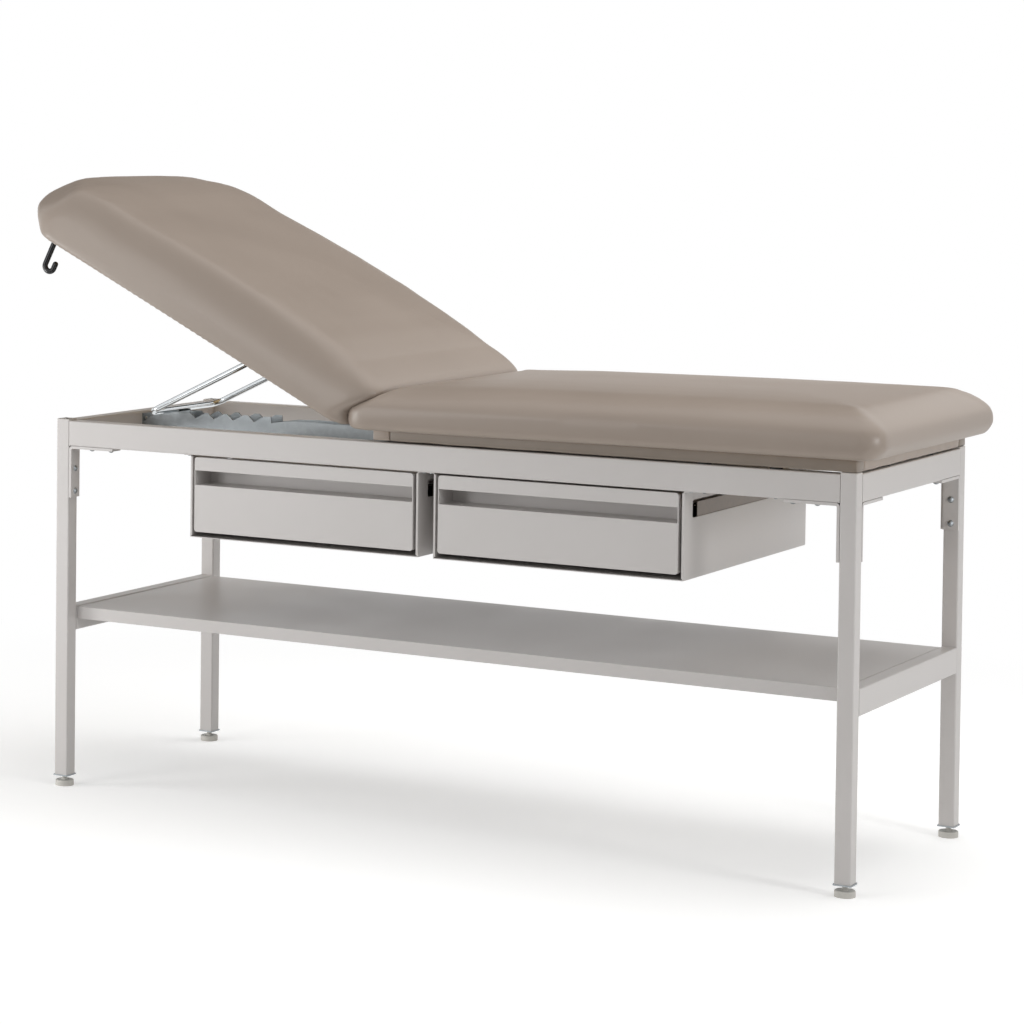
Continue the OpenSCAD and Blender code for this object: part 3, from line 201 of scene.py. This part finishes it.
# %% Birch plywood
def plywood():
    waver_size, grain_length, grain_ratio, relief_mm = 140 * MM, 60 * MM, 14, 0.12
    material, tree, shader, place = start_material("birch_plywood", IOR=1.5)
    waver = add_node(tree, "TexNoise", {"Vector": place, "Scale": 1 / waver_size, "Detail": 2.0})
    bent = add_node(tree, "VectorMath", {0: place, 1: waver.outputs["Color"]}, operation="ADD")
    stretch = add_node(tree, "Mapping", {"Vector": bent.outputs["Vector"],
                                         "Scale": (1, grain_ratio, grain_ratio)})
    grain = add_node(tree, "TexNoise", {"Vector": stretch.outputs["Vector"], "Scale": 1 / grain_length,
                                        "Detail": 6.0})
    tree.links.new(tone(tree, grain.outputs["Fac"], "#b08d5e", "#dcc297"), shader.inputs["Base Color"])
    gloss = add_node(tree, "MapRange", {"Value": grain.outputs["Fac"], "To Min": 0.55, "To Max": 0.75})
    tree.links.new(gloss.outputs["Result"], shader.inputs["Roughness"])
    bump_from(tree, shader, grain.outputs["Fac"], relief_mm, 0.5)
    return material


birch = plywood()

# %% [markdown]
# ## Upholstery vinyl
# The covers are expanded vinyl on a knitted back, embossed with a fine hide grain: small cells about
# a millimetre and a half across, with soft creases between them. The skin is satin, so it shows a
# broad pale glow along the rolled edges.

# %% Vinyl
def upholstery_vinyl(name, dark, light):
    cell, pore, hand_width, relief_mm = 1.6 * MM, 0.9 * MM, 220 * MM, 0.09
    material, tree, shader, place = start_material(name, IOR=1.5)
    cells = add_node(tree, "TexVoronoi", {"Vector": place, "Scale": 1 / cell}, feature="DISTANCE_TO_EDGE")
    crease = add_node(tree, "MapRange", {"Value": cells.outputs["Distance"], "From Max": 0.25})
    pores = add_node(tree, "TexNoise", {"Vector": place, "Scale": 1 / pore, "Detail": 2.0})
    grain = add_node(tree, "Mix", {"Factor": 0.4, "A": crease.outputs["Result"], "B": pores.outputs["Fac"]},
                     data_type="FLOAT")
    drift = add_node(tree, "TexNoise", {"Vector": place, "Scale": 1 / hand_width, "Detail": 3.0})
    gloss = add_node(tree, "MapRange", {"Value": drift.outputs["Fac"], "To Min": 0.34, "To Max": 0.44})
    tree.links.new(tone(tree, drift.outputs["Fac"], dark, light), shader.inputs["Base Color"])
    tree.links.new(gloss.outputs["Result"], shader.inputs["Roughness"])
    bump_from(tree, shader, grain.outputs["Result"], relief_mm, 0.35)
    return material


vinyl = upholstery_vinyl("embossed_vinyl", "#94877c", "#9b8e83")
# The riser's vinyl is painted darker: painted shade for the side battens under the seat's overhang.
riser_vinyl_painted_shade = upholstery_vinyl("riser_vinyl_painted_shade", "#7b7065", "#82776c")
print("made", birch.name, vinyl.name, riser_vinyl_painted_shade.name)

# %% [markdown]
# ## Who gets which finish
# The record already says what each node is made of, so the finish follows its material slot.

# %% Dress the ready-made parts
# These slides get the zinc with painted shade, darker and browner than the plain plate.
SHADED_SLIDES = ["slide_channels", "slide_runners_head", "slide_runners_foot"]
FINISH = {
    "painted_steel": steel_coat, "zinc_steel": zinc, "chrome_bar": chrome, "vinyl": vinyl,
    "plywood": birch, "glide_plastic": glide_nylon, "cap_plastic": cap_plastic,
    "hook_coating": plastisol, "pad_rubber": pad_rubber,
}
for part in frame["record"]["subparts"]:
    body = nodes[part["node"]]
    body.data.materials.clear()
    body.data.materials.append(shaded_slide_zinc if part["node"] in SHADED_SLIDES else FINISH[part["material_slot"]])
print("dressed", len(nodes), "nodes")

# %% [markdown]
# ## Stuffing a cushion
# Foam under tight vinyl is a soft body: it is fullest in the middle of each face, and it pulls in
# where the cover is stapled down. The plain form is remeshed into even squares and drawn in a little.
# Then a cloth simulation blows it up from inside, with the stapled underside held still, and no point
# may travel further than the foam can give. At last the skin is relaxed, which takes the facets out
# of the rolled edges and leaves the form's size alone.

# %% Cushion helpers
VOXEL = 7 * MM
SHRINK = 1 * MM
TRAVEL = 2 * MM
SIMULATED_FRAMES = 20


def joined_copy(name, *node_names):
    """One new object that holds the merged triangles of some nodes."""
    shape = bmesh.new()
    for node_name in node_names:
        shape.from_mesh(nodes[node_name].data)
    bmesh.ops.remove_doubles(shape, verts=shape.verts, dist=0.01 * MM)
    return new_piece(name, shape)


def new_piece(name, shape):
    """Turns a bmesh into an object at the origin."""
    mesh = bpy.data.meshes.new(name)
    shape.to_mesh(mesh)
    shape.free()
    piece = bpy.data.objects.new(name, mesh)
    bpy.context.scene.collection.objects.link(piece)
    return piece


def keep_evaluated(piece):
    """Makes the modifiers' result the mesh itself."""
    shaped = bpy.data.meshes.new_from_object(piece.evaluated_get(bpy.context.evaluated_depsgraph_get()))
    piece.modifiers.clear()
    piece.data = shaped


def remesh(piece, size):
    cut = piece.modifiers.new("even squares", "REMESH")
    cut.mode = "VOXEL"
    cut.voxel_size = size
    keep_evaluated(piece)


def read_values(collection, name, width):
    values = np.empty(len(collection) * width)
    collection.foreach_get(name, values)
    return values.reshape(-1, width)


def vertex_places(mesh):
    return read_values(mesh.vertices, "co", 3)


def vertex_normals(mesh):
    return read_values(mesh.vertices, "normal", 3)


def set_places(mesh, places):
    mesh.vertices.foreach_set("co", np.asarray(places).ravel())
    mesh.update()


# %% Soft steps and humps
def rise(values, low, high):
    """0 up to `low` and 1 from `high` on, with a soft step between."""
    t = np.clip((values - low) / (high - low), 0, 1)
    return t * t * (3 - 2 * t)


def fade(values, low, high):
    """1 up to `low` and 0 from `high` on."""
    return 1 - rise(values, low, high)


def swell(values, middle, reach):
    """A soft hump: 1 in the middle, 0 from `reach` away."""
    return np.clip(1 - ((values - middle) / reach) ** 2, 0, 1) ** 2


# %% Relax a skin
RELAX_IN, RELAX_OUT = 0.6, -0.61


def relax(mesh, rounds, share=1.0):
    """Evens out bumps: each round pulls the points in towards their neighbours, then out again."""
    ends = read_values(mesh.edges, "vertices", 2).astype(int)
    count = len(mesh.vertices)
    first = np.concatenate([ends[:, 0], ends[:, 1]])
    second = np.concatenate([ends[:, 1], ends[:, 0]])
    neighbours = np.maximum(np.bincount(first, minlength=count), 1)
    places = vertex_places(mesh)
    pull = np.broadcast_to(np.asarray(share), count)[:, None]
    for step in range(rounds):
        for weight in (RELAX_IN, RELAX_OUT):
            middle = np.stack([np.bincount(first, places[second, k], count) for k in range(3)], axis=1)
            places = places + pull * weight * (middle / neighbours[:, None] - places)
    set_places(mesh, places)


# %% Blow up a cushion
def stuff(piece, free):
    """Shrinks and blows up a cushion; free holds 0 for a stapled point and 1 for a loose one."""
    mesh = piece.data
    start = vertex_places(mesh) - vertex_normals(mesh) * (SHRINK * free)[:, None]
    set_places(mesh, start)
    pins = piece.vertex_groups.new(name="stapled")
    for index in np.flatnonzero(free < 0.999):
        pins.add([int(index)], float(1 - free[index]), "REPLACE")
    cloth = piece.modifiers.new("cover", "CLOTH")
    cover = cloth.settings
    cover.quality = 4
    cover.mass = 0.3
    cover.tension_stiffness = 15
    cover.compression_stiffness = 15
    cover.shear_stiffness = 10
    cover.bending_stiffness = 4
    cover.use_pressure = True
    cover.uniform_pressure_force = 4
    cover.vertex_group_mass = "stapled"
    cover.effector_weights.gravity = 0
    cloth.collision_settings.use_collision = False
    cloth.point_cache.frame_start = 1
    cloth.point_cache.frame_end = SIMULATED_FRAMES
    for step in range(1, SIMULATED_FRAMES + 1):
        bpy.context.scene.frame_set(step)
    keep_evaluated(piece)
    travel = vertex_places(piece.data) - start
    length = np.linalg.norm(travel, axis=1)
    capped = TRAVEL * np.tanh(length / TRAVEL)
    set_places(piece.data, start + travel * (capped / np.maximum(length, 1e-9) * free)[:, None])
    piece.vertex_groups.clear()
    print(piece.name, "moved at most", round(float(capped.max()) * 1000, 1), "mm")


def finish_cushion(piece, body, *hidden):
    smooth = piece.modifiers.new("finer", "SUBSURF")
    smooth.levels = smooth.render_levels = 1
    keep_evaluated(piece)
    piece.data.shade_smooth()
    piece.data.materials.clear()
    piece.data.materials.append(vinyl)
    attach(piece, body)
    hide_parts(*hidden)
    print(piece.name, len(piece.data.polygons), "faces")


# %% Seat cushion
RELAX_ROUNDS, HELD_SHARE = 40, 0.15
seat = joined_copy("seat_pad", "seat_cushion")
remesh(seat, VOXEL)
seat_low, seat_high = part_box("seat_cushion")
seat_free = rise(vertex_places(seat.data)[:, 2], seat_low[2] + 2 * MM, seat_low[2] + 45 * MM)
stuff(seat, seat_free)
relax(seat.data, RELAX_ROUNDS, HELD_SHARE + (1 - HELD_SHARE) * seat_free)

# %% [markdown]
# ## Years of use
# Foam creeps. Where the two cushions lean on each other, both have moved towards the foot. The foot
# end has grown longer at its top, the middle of the seat has risen a little and its ends have sunk.
# The cover laps round the board, and its lower edge droops over the board's. Each of these is a shift
# in one direction, which softly starts and stops along the cushion and up its side. The lengths in
# the pairs say where.

# %% Foam that crept towards the foot
CREEP = 38 * MM
CREEP_STARTS, CREEP_STOPS = (-65 * MM, 22 * MM), (42 * MM, 197 * MM)
CREEP_RISES, CREEP_FALLS = (36 * MM, 74 * MM), (74 * MM, 136 * MM)


def crept(x, z):
    """How far a point of either cushion has crept towards the foot."""
    along, height = x - seat_low[0], z - seat_low[2]
    return CREEP * rise(along, *CREEP_STARTS) * fade(along, *CREEP_STOPS) \
        * rise(height, *CREEP_RISES) * fade(height, *CREEP_FALLS)


# %% Cover and corners of the seat
LAP, LAP_HEIGHT = 3 * MM, (4 * MM, 22 * MM)
STRETCH, STRETCH_LENGTH = 9 * MM, 320 * MM
TUCK, TUCK_LENGTH, TUCK_HEIGHT = 7 * MM, 60 * MM, (4 * MM, 26 * MM)
CORNER_OUT, MIDDLE_IN, CORNER_LENGTH = 8 * MM, 9 * MM, 60 * MM
CORNER_HEIGHT, CORNER_WIDTH = (12 * MM, 48 * MM), (60 * MM, 120 * MM)

places = vertex_places(seat.data)
normals = vertex_normals(seat.data)
x, y, z = places.T
places[:, :2] += normals[:, :2] * (LAP * fade(z - seat_low[2], *LAP_HEIGHT))[:, None]
places[:, 0] += crept(x, z) + STRETCH * fade(seat_high[0] - x, 0, STRETCH_LENGTH)
places[:, 0] -= TUCK * fade(seat_high[0] - x, 0, TUCK_LENGTH) * fade(z - seat_low[2], *TUCK_HEIGHT)
# At the head end the lower corners are square, and the middle leaves room for the hinge straps.
at_side = fade(seat_high[1] - np.abs(y), *CORNER_WIDTH)
places[:, 0] += (MIDDLE_IN - (MIDDLE_IN + CORNER_OUT) * at_side) * fade(x - seat_low[0], 0, CORNER_LENGTH) \
    * fade(z - seat_low[2], *CORNER_HEIGHT)

# %% Height of the seat
MIDDLE_RISE, RISE_STARTS, RISE_STOPS = 6 * MM, 260 * MM, 60 * MM
HEAD_SINK, HEAD_SINK_LENGTH = 4 * MM, (120 * MM, 330 * MM)
FOOT_SINK, FOOT_SINK_LENGTH = 5 * MM, (12 * MM, 80 * MM)
DROOP_HEAD, DROOP_FOOT, DROOP_WIDTH, DROOP_HEIGHT = 7 * MM, 3 * MM, (30 * MM, 45 * MM), (2 * MM, 30 * MM)

settled = MIDDLE_RISE * rise(x, seat_low[0] + RISE_STARTS, seat_high[0] - RISE_STOPS) \
    - HEAD_SINK * fade(x - seat_low[0], *HEAD_SINK_LENGTH) \
    - FOOT_SINK * fade(seat_high[0] - x, *FOOT_SINK_LENGTH)
places[:, 2] += settled * rise(z, seat_low[2], seat_high[2])
from_ends = np.minimum(x - seat_low[0], seat_high[0] - x)
from_sides = np.minimum(y - seat_low[1], seat_high[1] - y)
droop = DROOP_HEAD + (DROOP_FOOT - DROOP_HEAD) * rise(x, seat_low[0], seat_high[0])
droop *= fade(np.minimum(from_ends, from_sides), *DROOP_WIDTH)
places[:, 2] -= droop * fade(z - seat_low[2], *DROOP_HEIGHT)
set_places(seat.data, places)
finish_cushion(seat, "frame", "seat_cushion")

# %% [markdown]
# ## The backrest cushion
# It turns with the backrest, so its underside is found in the backrest's own frame: u runs from the
# hinge to the head, w stands square to the board.

# %% Backrest cushion
BACKREST_ANGLE = math.radians(26.4)  # as photographed
hinge = next(j for j in frame["joints"] if j["name"] == "backrest_hinge")
hinge_place = np.array(hinge["pos_m"])
along_back = np.array([-math.cos(BACKREST_ANGLE), 0, math.sin(BACKREST_ANGLE)])
square_to_back = np.array([math.sin(BACKREST_ANGLE), 0, math.cos(BACKREST_ANGLE)])


def backrest_uw(places):
    from_hinge = places - hinge_place
    return from_hinge @ along_back, from_hinge @ square_to_back


back = joined_copy("backrest_pad", "backrest_cushion", "backrest_nose")
remesh(back, VOXEL)
back_u, back_w = backrest_uw(vertex_places(back.data))
BACK_UNDERSIDE = -13 * MM
NOSE_HELD = (60 * MM, 130 * MM)
back_free = rise(back_w, BACK_UNDERSIDE + 2 * MM, BACK_UNDERSIDE + 40 * MM)
stuff(back, back_free * rise(back_u, *NOSE_HELD))
relax(back.data, RELAX_ROUNDS, HELD_SHARE + (1 - HELD_SHARE) * back_free)

# %% Cover and head end of the backrest
BACK_LAP_HEIGHT = (4 * MM, 20 * MM)
HEAD_LENGTH, HEAD_SIDE = 130 * MM, (15 * MM, 145 * MM)
BULGE, BULGE_RISES = 38 * MM, (-12 * MM, 24 * MM)
UNDERCUT = 12 * MM
ROLL, SIDE_ROLL, ROLL_HEIGHT = 22 * MM, 35 * MM, (28 * MM, 98 * MM)

places = vertex_places(back.data)
normals = vertex_normals(back.data)
back_u, back_w = backrest_uw(places)
HEAD_U = float(back_u.max())
level = normals - np.outer(normals @ square_to_back, square_to_back)
places += level * (LAP * fade(back_w - BACK_UNDERSIDE, *BACK_LAP_HEIGHT))[:, None]
# The head end is fullest low down, and its top rolls back, further at the sides.
at_side = fade(seat_high[1] - np.abs(places[:, 1]), *HEAD_SIDE)
fuller = BULGE * rise(back_w, *BULGE_RISES) - UNDERCUT \
    - (ROLL + SIDE_ROLL * at_side) * rise(back_w, *ROLL_HEIGHT)
places += along_back * (fuller * fade(HEAD_U - back_u, 0, HEAD_LENGTH))[:, None]

# %% Crown of the backrest
CROWN, CROWN_HEIGHT = 3 * MM, (20 * MM, 72 * MM)
HEAD_CROWN, HEAD_CROWN_AT, HEAD_CROWN_REACH = 8 * MM, 150 * MM, 120 * MM
HINGE_CROWN, HINGE_CROWN_AT, HINGE_CROWN_REACH = 2 * MM, 138 * MM, 80 * MM
NOSE_SINK, NOSE_LENGTH = 10 * MM, (50 * MM, 100 * MM)
HEAD_DIP, HEAD_DIP_LENGTH = 5 * MM, 60 * MM
CORNER_DIP, CORNER_DIP_WIDTH, CORNER_DIP_LENGTH = 9 * MM, (20 * MM, 150 * MM), (60 * MM, 210 * MM)

from_head, from_side = HEAD_U - back_u, seat_high[1] - np.abs(places[:, 1])
crown = CROWN + HEAD_CROWN * swell(from_head, HEAD_CROWN_AT, HEAD_CROWN_REACH) \
    + HINGE_CROWN * swell(back_u, HINGE_CROWN_AT, HINGE_CROWN_REACH) \
    - NOSE_SINK * fade(back_u, *NOSE_LENGTH) - HEAD_DIP * fade(from_head, 0, HEAD_DIP_LENGTH) \
    - CORNER_DIP * fade(from_side, *CORNER_DIP_WIDTH) * fade(from_head, *CORNER_DIP_LENGTH)
places += square_to_back * (crown * rise(back_w, *CROWN_HEIGHT))[:, None]
places[:, 0] += crept(places[:, 0], places[:, 2])

# %% Pinched cover over the hinge
PINCH, PINCH_X, PINCH_Z = 24 * MM, (-151 * MM, -140 * MM), (823 * MM, 848 * MM)
PINCH_WIDTH = (25 * MM, 70 * MM)
CLOSE, CLOSE_LENGTH, CLOSE_HEIGHT = 7 * MM, 60 * MM, (818 * MM, 858 * MM)
SETTLE_ROUNDS = 6

x, y, z = places.T
pinch = PINCH * rise(x, *PINCH_X) * fade(z, *PINCH_Z) * fade(seat_high[1] - np.abs(y), *PINCH_WIDTH)
places[:, 1] -= np.sign(y) * pinch
# The nose lies on the seat's end, so no gap shows between the two covers.
close = CLOSE * rise(x, seat_low[0] - CLOSE_LENGTH, seat_low[0]) * rise(z, *CLOSE_HEIGHT)
places[:, 0] += close
places[:, 2] -= close
set_places(back.data, places)
relax(back.data, SETTLE_ROUNDS, back_free)
finish_cushion(back, "backrest", "backrest_cushion", "backrest_nose")

# %% [markdown]
# ## The riser
# Battens wrapped in the same vinyl lift the seat off the frame; on the side battens the vinyl is painted
# darker, as painted shade under the seat's overhang. The cover is pulled round them by hand, so their
# edges are rounded and their faces waver a little. At the head end the cross batten shows its end, and
# at the foot end the side battens show theirs.

# %% Riser battens
FOLD, FOLD_SEGMENTS = 3.5 * MM, 3
WRINKLE, WRINKLE_DEPTH, WRINKLE_SINK = 28 * MM, 0.9 * MM, 0.4 * MM
LONG_EDGE, LONG_CUTS = 60 * MM, 60


def wrapped_battens(name, cover, boxes, replaced):
    """Rounded bars between opposite corners, with the uneven faces of a cover pulled by hand."""
    shape = bmesh.new()
    for low, high in boxes:
        size = Vector(high) - Vector(low)
        made = bmesh.ops.create_cube(shape, size=1)["verts"]
        bmesh.ops.scale(shape, vec=size, verts=made)
        bmesh.ops.translate(shape, vec=(Vector(high) + Vector(low)) / 2, verts=made)
    bmesh.ops.bevel(shape, geom=shape.edges[:], offset=FOLD, segments=FOLD_SEGMENTS, affect="EDGES",
                    profile=0.5, material=-1)
    long_edges = [e for e in shape.edges if e.calc_length() > LONG_EDGE]
    bmesh.ops.subdivide_edges(shape, edges=long_edges, cuts=LONG_CUTS, use_grid_fill=True)
    for vert in shape.verts:
        vert.co += vert.normal * (field.noise(vert.co / WRINKLE) * WRINKLE_DEPTH - WRINKLE_SINK)
    piece = new_piece(name, shape)
    piece.data.shade_smooth()
    piece.data.materials.append(cover)
    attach(piece, "frame")
    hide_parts(replaced)
    print(name, len(piece.data.polygons), "faces")


(riser_x0, riser_y0, riser_z0), (riser_x1, riser_y1, riser_z1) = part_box("riser_side_battens")
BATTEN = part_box("riser_cross_battens")[0][1] - riser_y0
# The side battens take the vinyl painted darker as shade under the seat.
wrapped_battens("riser_side_wraps", riser_vinyl_painted_shade, [
    ((riser_x0 + BATTEN, riser_y0, riser_z0), (riser_x1, riser_y0 + BATTEN, riser_z1)),
    ((riser_x0 + BATTEN, riser_y1 - BATTEN, riser_z0), (riser_x1, riser_y1, riser_z1)),
], "riser_side_battens")
wrapped_battens("riser_cross_wraps", vinyl, [
    ((riser_x0, riser_y0, riser_z0), (riser_x0 + BATTEN, riser_y1, riser_z1)),
    ((riser_x1 - BATTEN, riser_y0 + BATTEN, riser_z0), (riser_x1, riser_y1 - BATTEN, riser_z1)),
], "riser_cross_battens")

# %% [markdown]
# ## Leg caps
# A moulded cap closes each leg. Its plug sits in the tube, and its top is a flat cushion with soft
# edges, which catches a small highlight at each corner of the frame.

# %% Caps on the legs
LEGS = ["leg_front_head", "leg_front_foot", "leg_back_head", "leg_back_foot"]
UPRIGHT_ROUND, TOP_ROUND = 3 * MM, 1.4 * MM
DISH_RIM, DISH_RISE = 5 * MM, 0.5 * MM
PLUG_PLAY = 4.2 * MM
cap_low, cap_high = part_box("leg_caps")
caps_shape = bmesh.new()


def cap_block(leg, side, low, high):
    """A square block on the middle of a leg, between two heights."""
    (x0, y0, _), (x1, y1, _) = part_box(leg)
    made = bmesh.ops.create_cube(caps_shape, size=1)["verts"]
    bmesh.ops.scale(caps_shape, vec=(side, side, high - low), verts=made)
    bmesh.ops.translate(caps_shape, vec=((x0 + x1) / 2, (y0 + y1) / 2, (low + high) / 2), verts=made)


def rounded(edges, offset, segments):
    bmesh.ops.bevel(caps_shape, geom=edges, offset=offset, segments=segments, affect="EDGES", profile=0.5,
                    material=-1)


leg_tops = {leg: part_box(leg)[1][2] for leg in LEGS}
leg_sides = {leg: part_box(leg)[1][0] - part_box(leg)[0][0] for leg in LEGS}
for leg in LEGS:
    cap_block(leg, leg_sides[leg], leg_tops[leg], cap_high[2])
rounded([e for e in caps_shape.edges if abs(e.verts[0].co.z - e.verts[1].co.z) > 1 * MM], UPRIGHT_ROUND, 4)
top_rims = [e for e in caps_shape.edges if min(v.co.z for v in e.verts) > cap_high[2] - 0.01 * MM]
rounded(top_rims, TOP_ROUND, 3)
tops = [f for f in caps_shape.faces if f.normal.z > 0.99 and f.calc_area() > 100 * MM * MM]
bmesh.ops.inset_region(caps_shape, faces=tops, thickness=DISH_RIM, depth=DISH_RISE)
for leg in LEGS:
    cap_block(leg, leg_sides[leg] - PLUG_PLAY, cap_low[2], leg_tops[leg])
caps = new_piece("leg_cap_tops", caps_shape)
caps.data.materials.append(cap_plastic)
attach(caps, "frame")
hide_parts("leg_caps")
print("caps:", len(caps.data.polygons), "faces")

# %% [markdown]
# ## Studio
# The table stands on pale paper. A large soft lamp in front on the left lights the drawer side, and
# its light falls off towards the foot end. A low one at the left lights the underside of the
# backrest's edge, one at the right lights the foot end, and a wide one hangs overhead. The levels
# are such that a colour shows about as it is written.

# %% Lamps
def soft_lamp(name, place, aim, size, power):
    data = bpy.data.lights.new(name, "AREA")
    data.shape = "RECTANGLE"
    data.size, data.size_y = size
    data.energy = power
    lamp = bpy.data.objects.new(name, data)
    bpy.context.scene.collection.objects.link(lamp)
    lamp.location = place
    lamp.rotation_euler = (Vector(aim) - Vector(place)).to_track_quat("-Z", "Y").to_euler()
    return lamp


soft_lamp("left_lamp", place=(-2.6, -1.5, 0.5), aim=(-0.6, 0, 0.75), size=(0.7, 0.7), power=20)
soft_lamp("front_lamp", place=(-2.0, -3.4, 1.2), aim=(-0.3, 0, 0.75), size=(1.2, 2.2), power=28)
soft_lamp("right_lamp", place=(3.4, -0.7, 1.25), aim=(0.6, 0, 0.75), size=(0.6, 0.6), power=21)
overhead = soft_lamp("overhead_lamp", place=(0.5, 0.4, 3.2), aim=(0, 0, 0.8), size=(2.6, 2.6), power=60)
overhead.visible_glossy = False  # the rolled edges carry no line from above

# %% [markdown]
# ## Paper and surround
# Near the table the paper shows the table's shadow. Further out it fades to plain white, so that no
# horizon shows behind the table. The world is white to the camera and in reflections, and a dimmer
# light on everything else.

# %% Seen or lighting
def seen_directly(tree):
    """1 for rays that show the surface as it looks: from the camera, reflected or through glass."""
    rays = add_node(tree, "LightPath")
    seen = add_node(tree, "Math", {0: rays.outputs["Is Camera Ray"], 1: rays.outputs["Is Glossy Ray"]},
                    operation="MAXIMUM")
    seen = add_node(tree, "Math", {0: seen.outputs[0], 1: rays.outputs["Is Transmission Ray"]},
                    operation="MAXIMUM")
    return seen.outputs[0]


# %% Paper floor
PAPER_RADIUS = 30
PAPER_GLOW = 0.3
GLOW_STARTS, ALL_WHITE = 1.0, 2.6
floor_shape = bmesh.new()
bmesh.ops.create_circle(floor_shape, cap_ends=True, segments=96, radius=PAPER_RADIUS)
floor = new_piece("studio_floor", floor_shape)
paper, tree, shader, place = start_material("backdrop_paper", Roughness=0.9)
shader.inputs["Base Color"].default_value = linear("#f4f4f3")
seen = seen_directly(tree)
lift = add_node(tree, "Emission", {"Color": (1, 1, 1, 1)})
lift_level = add_node(tree, "Math", {0: seen, 1: PAPER_GLOW}, operation="MULTIPLY")
tree.links.new(lift_level.outputs[0], lift.inputs["Strength"])
lifted = add_node(tree, "AddShader", {0: shader.outputs["BSDF"], 1: lift.outputs["Emission"]})
away = add_node(tree, "VectorMath", {0: place}, operation="LENGTH")
whiten = add_node(tree, "MapRange", {"Value": away.outputs["Value"], "From Min": GLOW_STARTS,
                                     "From Max": ALL_WHITE}, interpolation_type="SMOOTHSTEP")
whiten = add_node(tree, "Math", {0: whiten.outputs["Result"], 1: seen}, operation="MULTIPLY")
white = add_node(tree, "Emission", {"Color": (1, 1, 1, 1), "Strength": 1.0})
surface = add_node(tree, "MixShader", {0: whiten.outputs[0], 1: lifted.outputs["Shader"],
                                       2: white.outputs["Emission"]})
tree.links.new(surface.outputs["Shader"], tree.nodes["Material Output"].inputs["Surface"])
floor.data.materials.append(paper)

# %% White surround
ROOM_LIGHT = 0.39
world = bpy.data.worlds.new("studio")
bpy.context.scene.world = world
world.use_nodes = True
sky = world.node_tree
sky.nodes.clear()
light_level = add_node(sky, "MapRange", {"Value": seen_directly(sky), "To Min": ROOM_LIGHT, "To Max": 1.0})
backdrop = add_node(sky, "Background", {"Color": (1, 1, 1, 1), "Strength": light_level.outputs["Result"]})
add_node(sky, "OutputWorld", {"Surface": backdrop.outputs["Background"]})

# %% [markdown]
# ## Dark cards
# Chrome in a white room looks like paper. A photographer lays a grey card on the floor in front and
# hangs a dark one high up behind, both out of the picture, and the bar gets its dark lines from
# their reflections. They show in reflections only.

# %% Cards for the chrome
def dark_card(name, corners, code):
    """A flat card between four corners, seen by reflections alone."""
    shape = bmesh.new()
    shape.faces.new([shape.verts.new(corner) for corner in corners])
    card = new_piece(name, shape)
    felt, _, felt_shader, _ = start_material(name + "_felt", Roughness=1.0)
    felt_shader.inputs["Base Color"].default_value = linear(code)
    card.data.materials.append(felt)
    card.visible_camera = False
    card.visible_diffuse = False
    card.visible_shadow = False


ON_FLOOR, BACK_LOW, BACK_TOP = 0.02, 2.0, 12.0
dark_card("front_card", [(-5.5, -6.6, ON_FLOOR), (2.5, -6.6, ON_FLOOR), (2.5, -1.3, ON_FLOOR),
                         (-5.5, -1.3, ON_FLOOR)], "#8e8f90")
dark_card("back_card", [(-7.0, 1.8, BACK_LOW), (-0.3, 5.9, BACK_LOW), (-0.3, 5.9, BACK_TOP),
                        (-7.0, 1.8, BACK_TOP)], "#2c2c2e")
print("studio ready")

# %% [markdown]
# ## Camera
# The picture was taken with a long lens a little above the table top, from the front right. The
# place and turn were fitted to the frame's straight edges; the picture is a crop, so the lens axis
# isn't in its middle, and the camera's shift makes up for that.

# %% Camera
PICTURE = 1024
FOCAL_PX = 3122.93
AXIS_PX = (213.05, 238.08)
YAW, PITCH, ROLL = (math.radians(a) for a in (31.704, -2.061, 0.516))
CAMERA_FROM_CORNER = Vector((3707.814, -5385.444, 1390.138)) * MM
leg_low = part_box("leg_front_head")[0]
corner = Vector((leg_low[0], leg_low[1], 0))

forward = Vector((-math.sin(YAW) * math.cos(PITCH), math.cos(YAW) * math.cos(PITCH), math.sin(PITCH)))
right = Vector((math.cos(YAW), math.sin(YAW), 0))
up = right.cross(forward)
turned_right = math.cos(ROLL) * right + math.sin(ROLL) * up
turned_up = -math.sin(ROLL) * right + math.cos(ROLL) * up

lens = bpy.data.cameras.new("picture_camera")
lens.sensor_width = 36
lens.lens = FOCAL_PX / PICTURE * lens.sensor_width
lens.shift_x = (PICTURE / 2 - AXIS_PX[0]) / PICTURE
lens.shift_y = (AXIS_PX[1] - PICTURE / 2) / PICTURE
lens.clip_end = 100
camera = bpy.data.objects.new("picture_camera", lens)
bpy.context.scene.collection.objects.link(camera)
axes = Matrix((turned_right, turned_up, -forward)).transposed()
camera.matrix_world = Matrix.Translation(corner + CAMERA_FROM_CORNER) @ axes.to_4x4()
bpy.context.scene.camera = camera

# %% [markdown]
# ## Colour view
# The picture uses the Standard view, so colours stay as written.

# %% Finish
bpy.context.scene.view_settings.view_transform = "Standard"
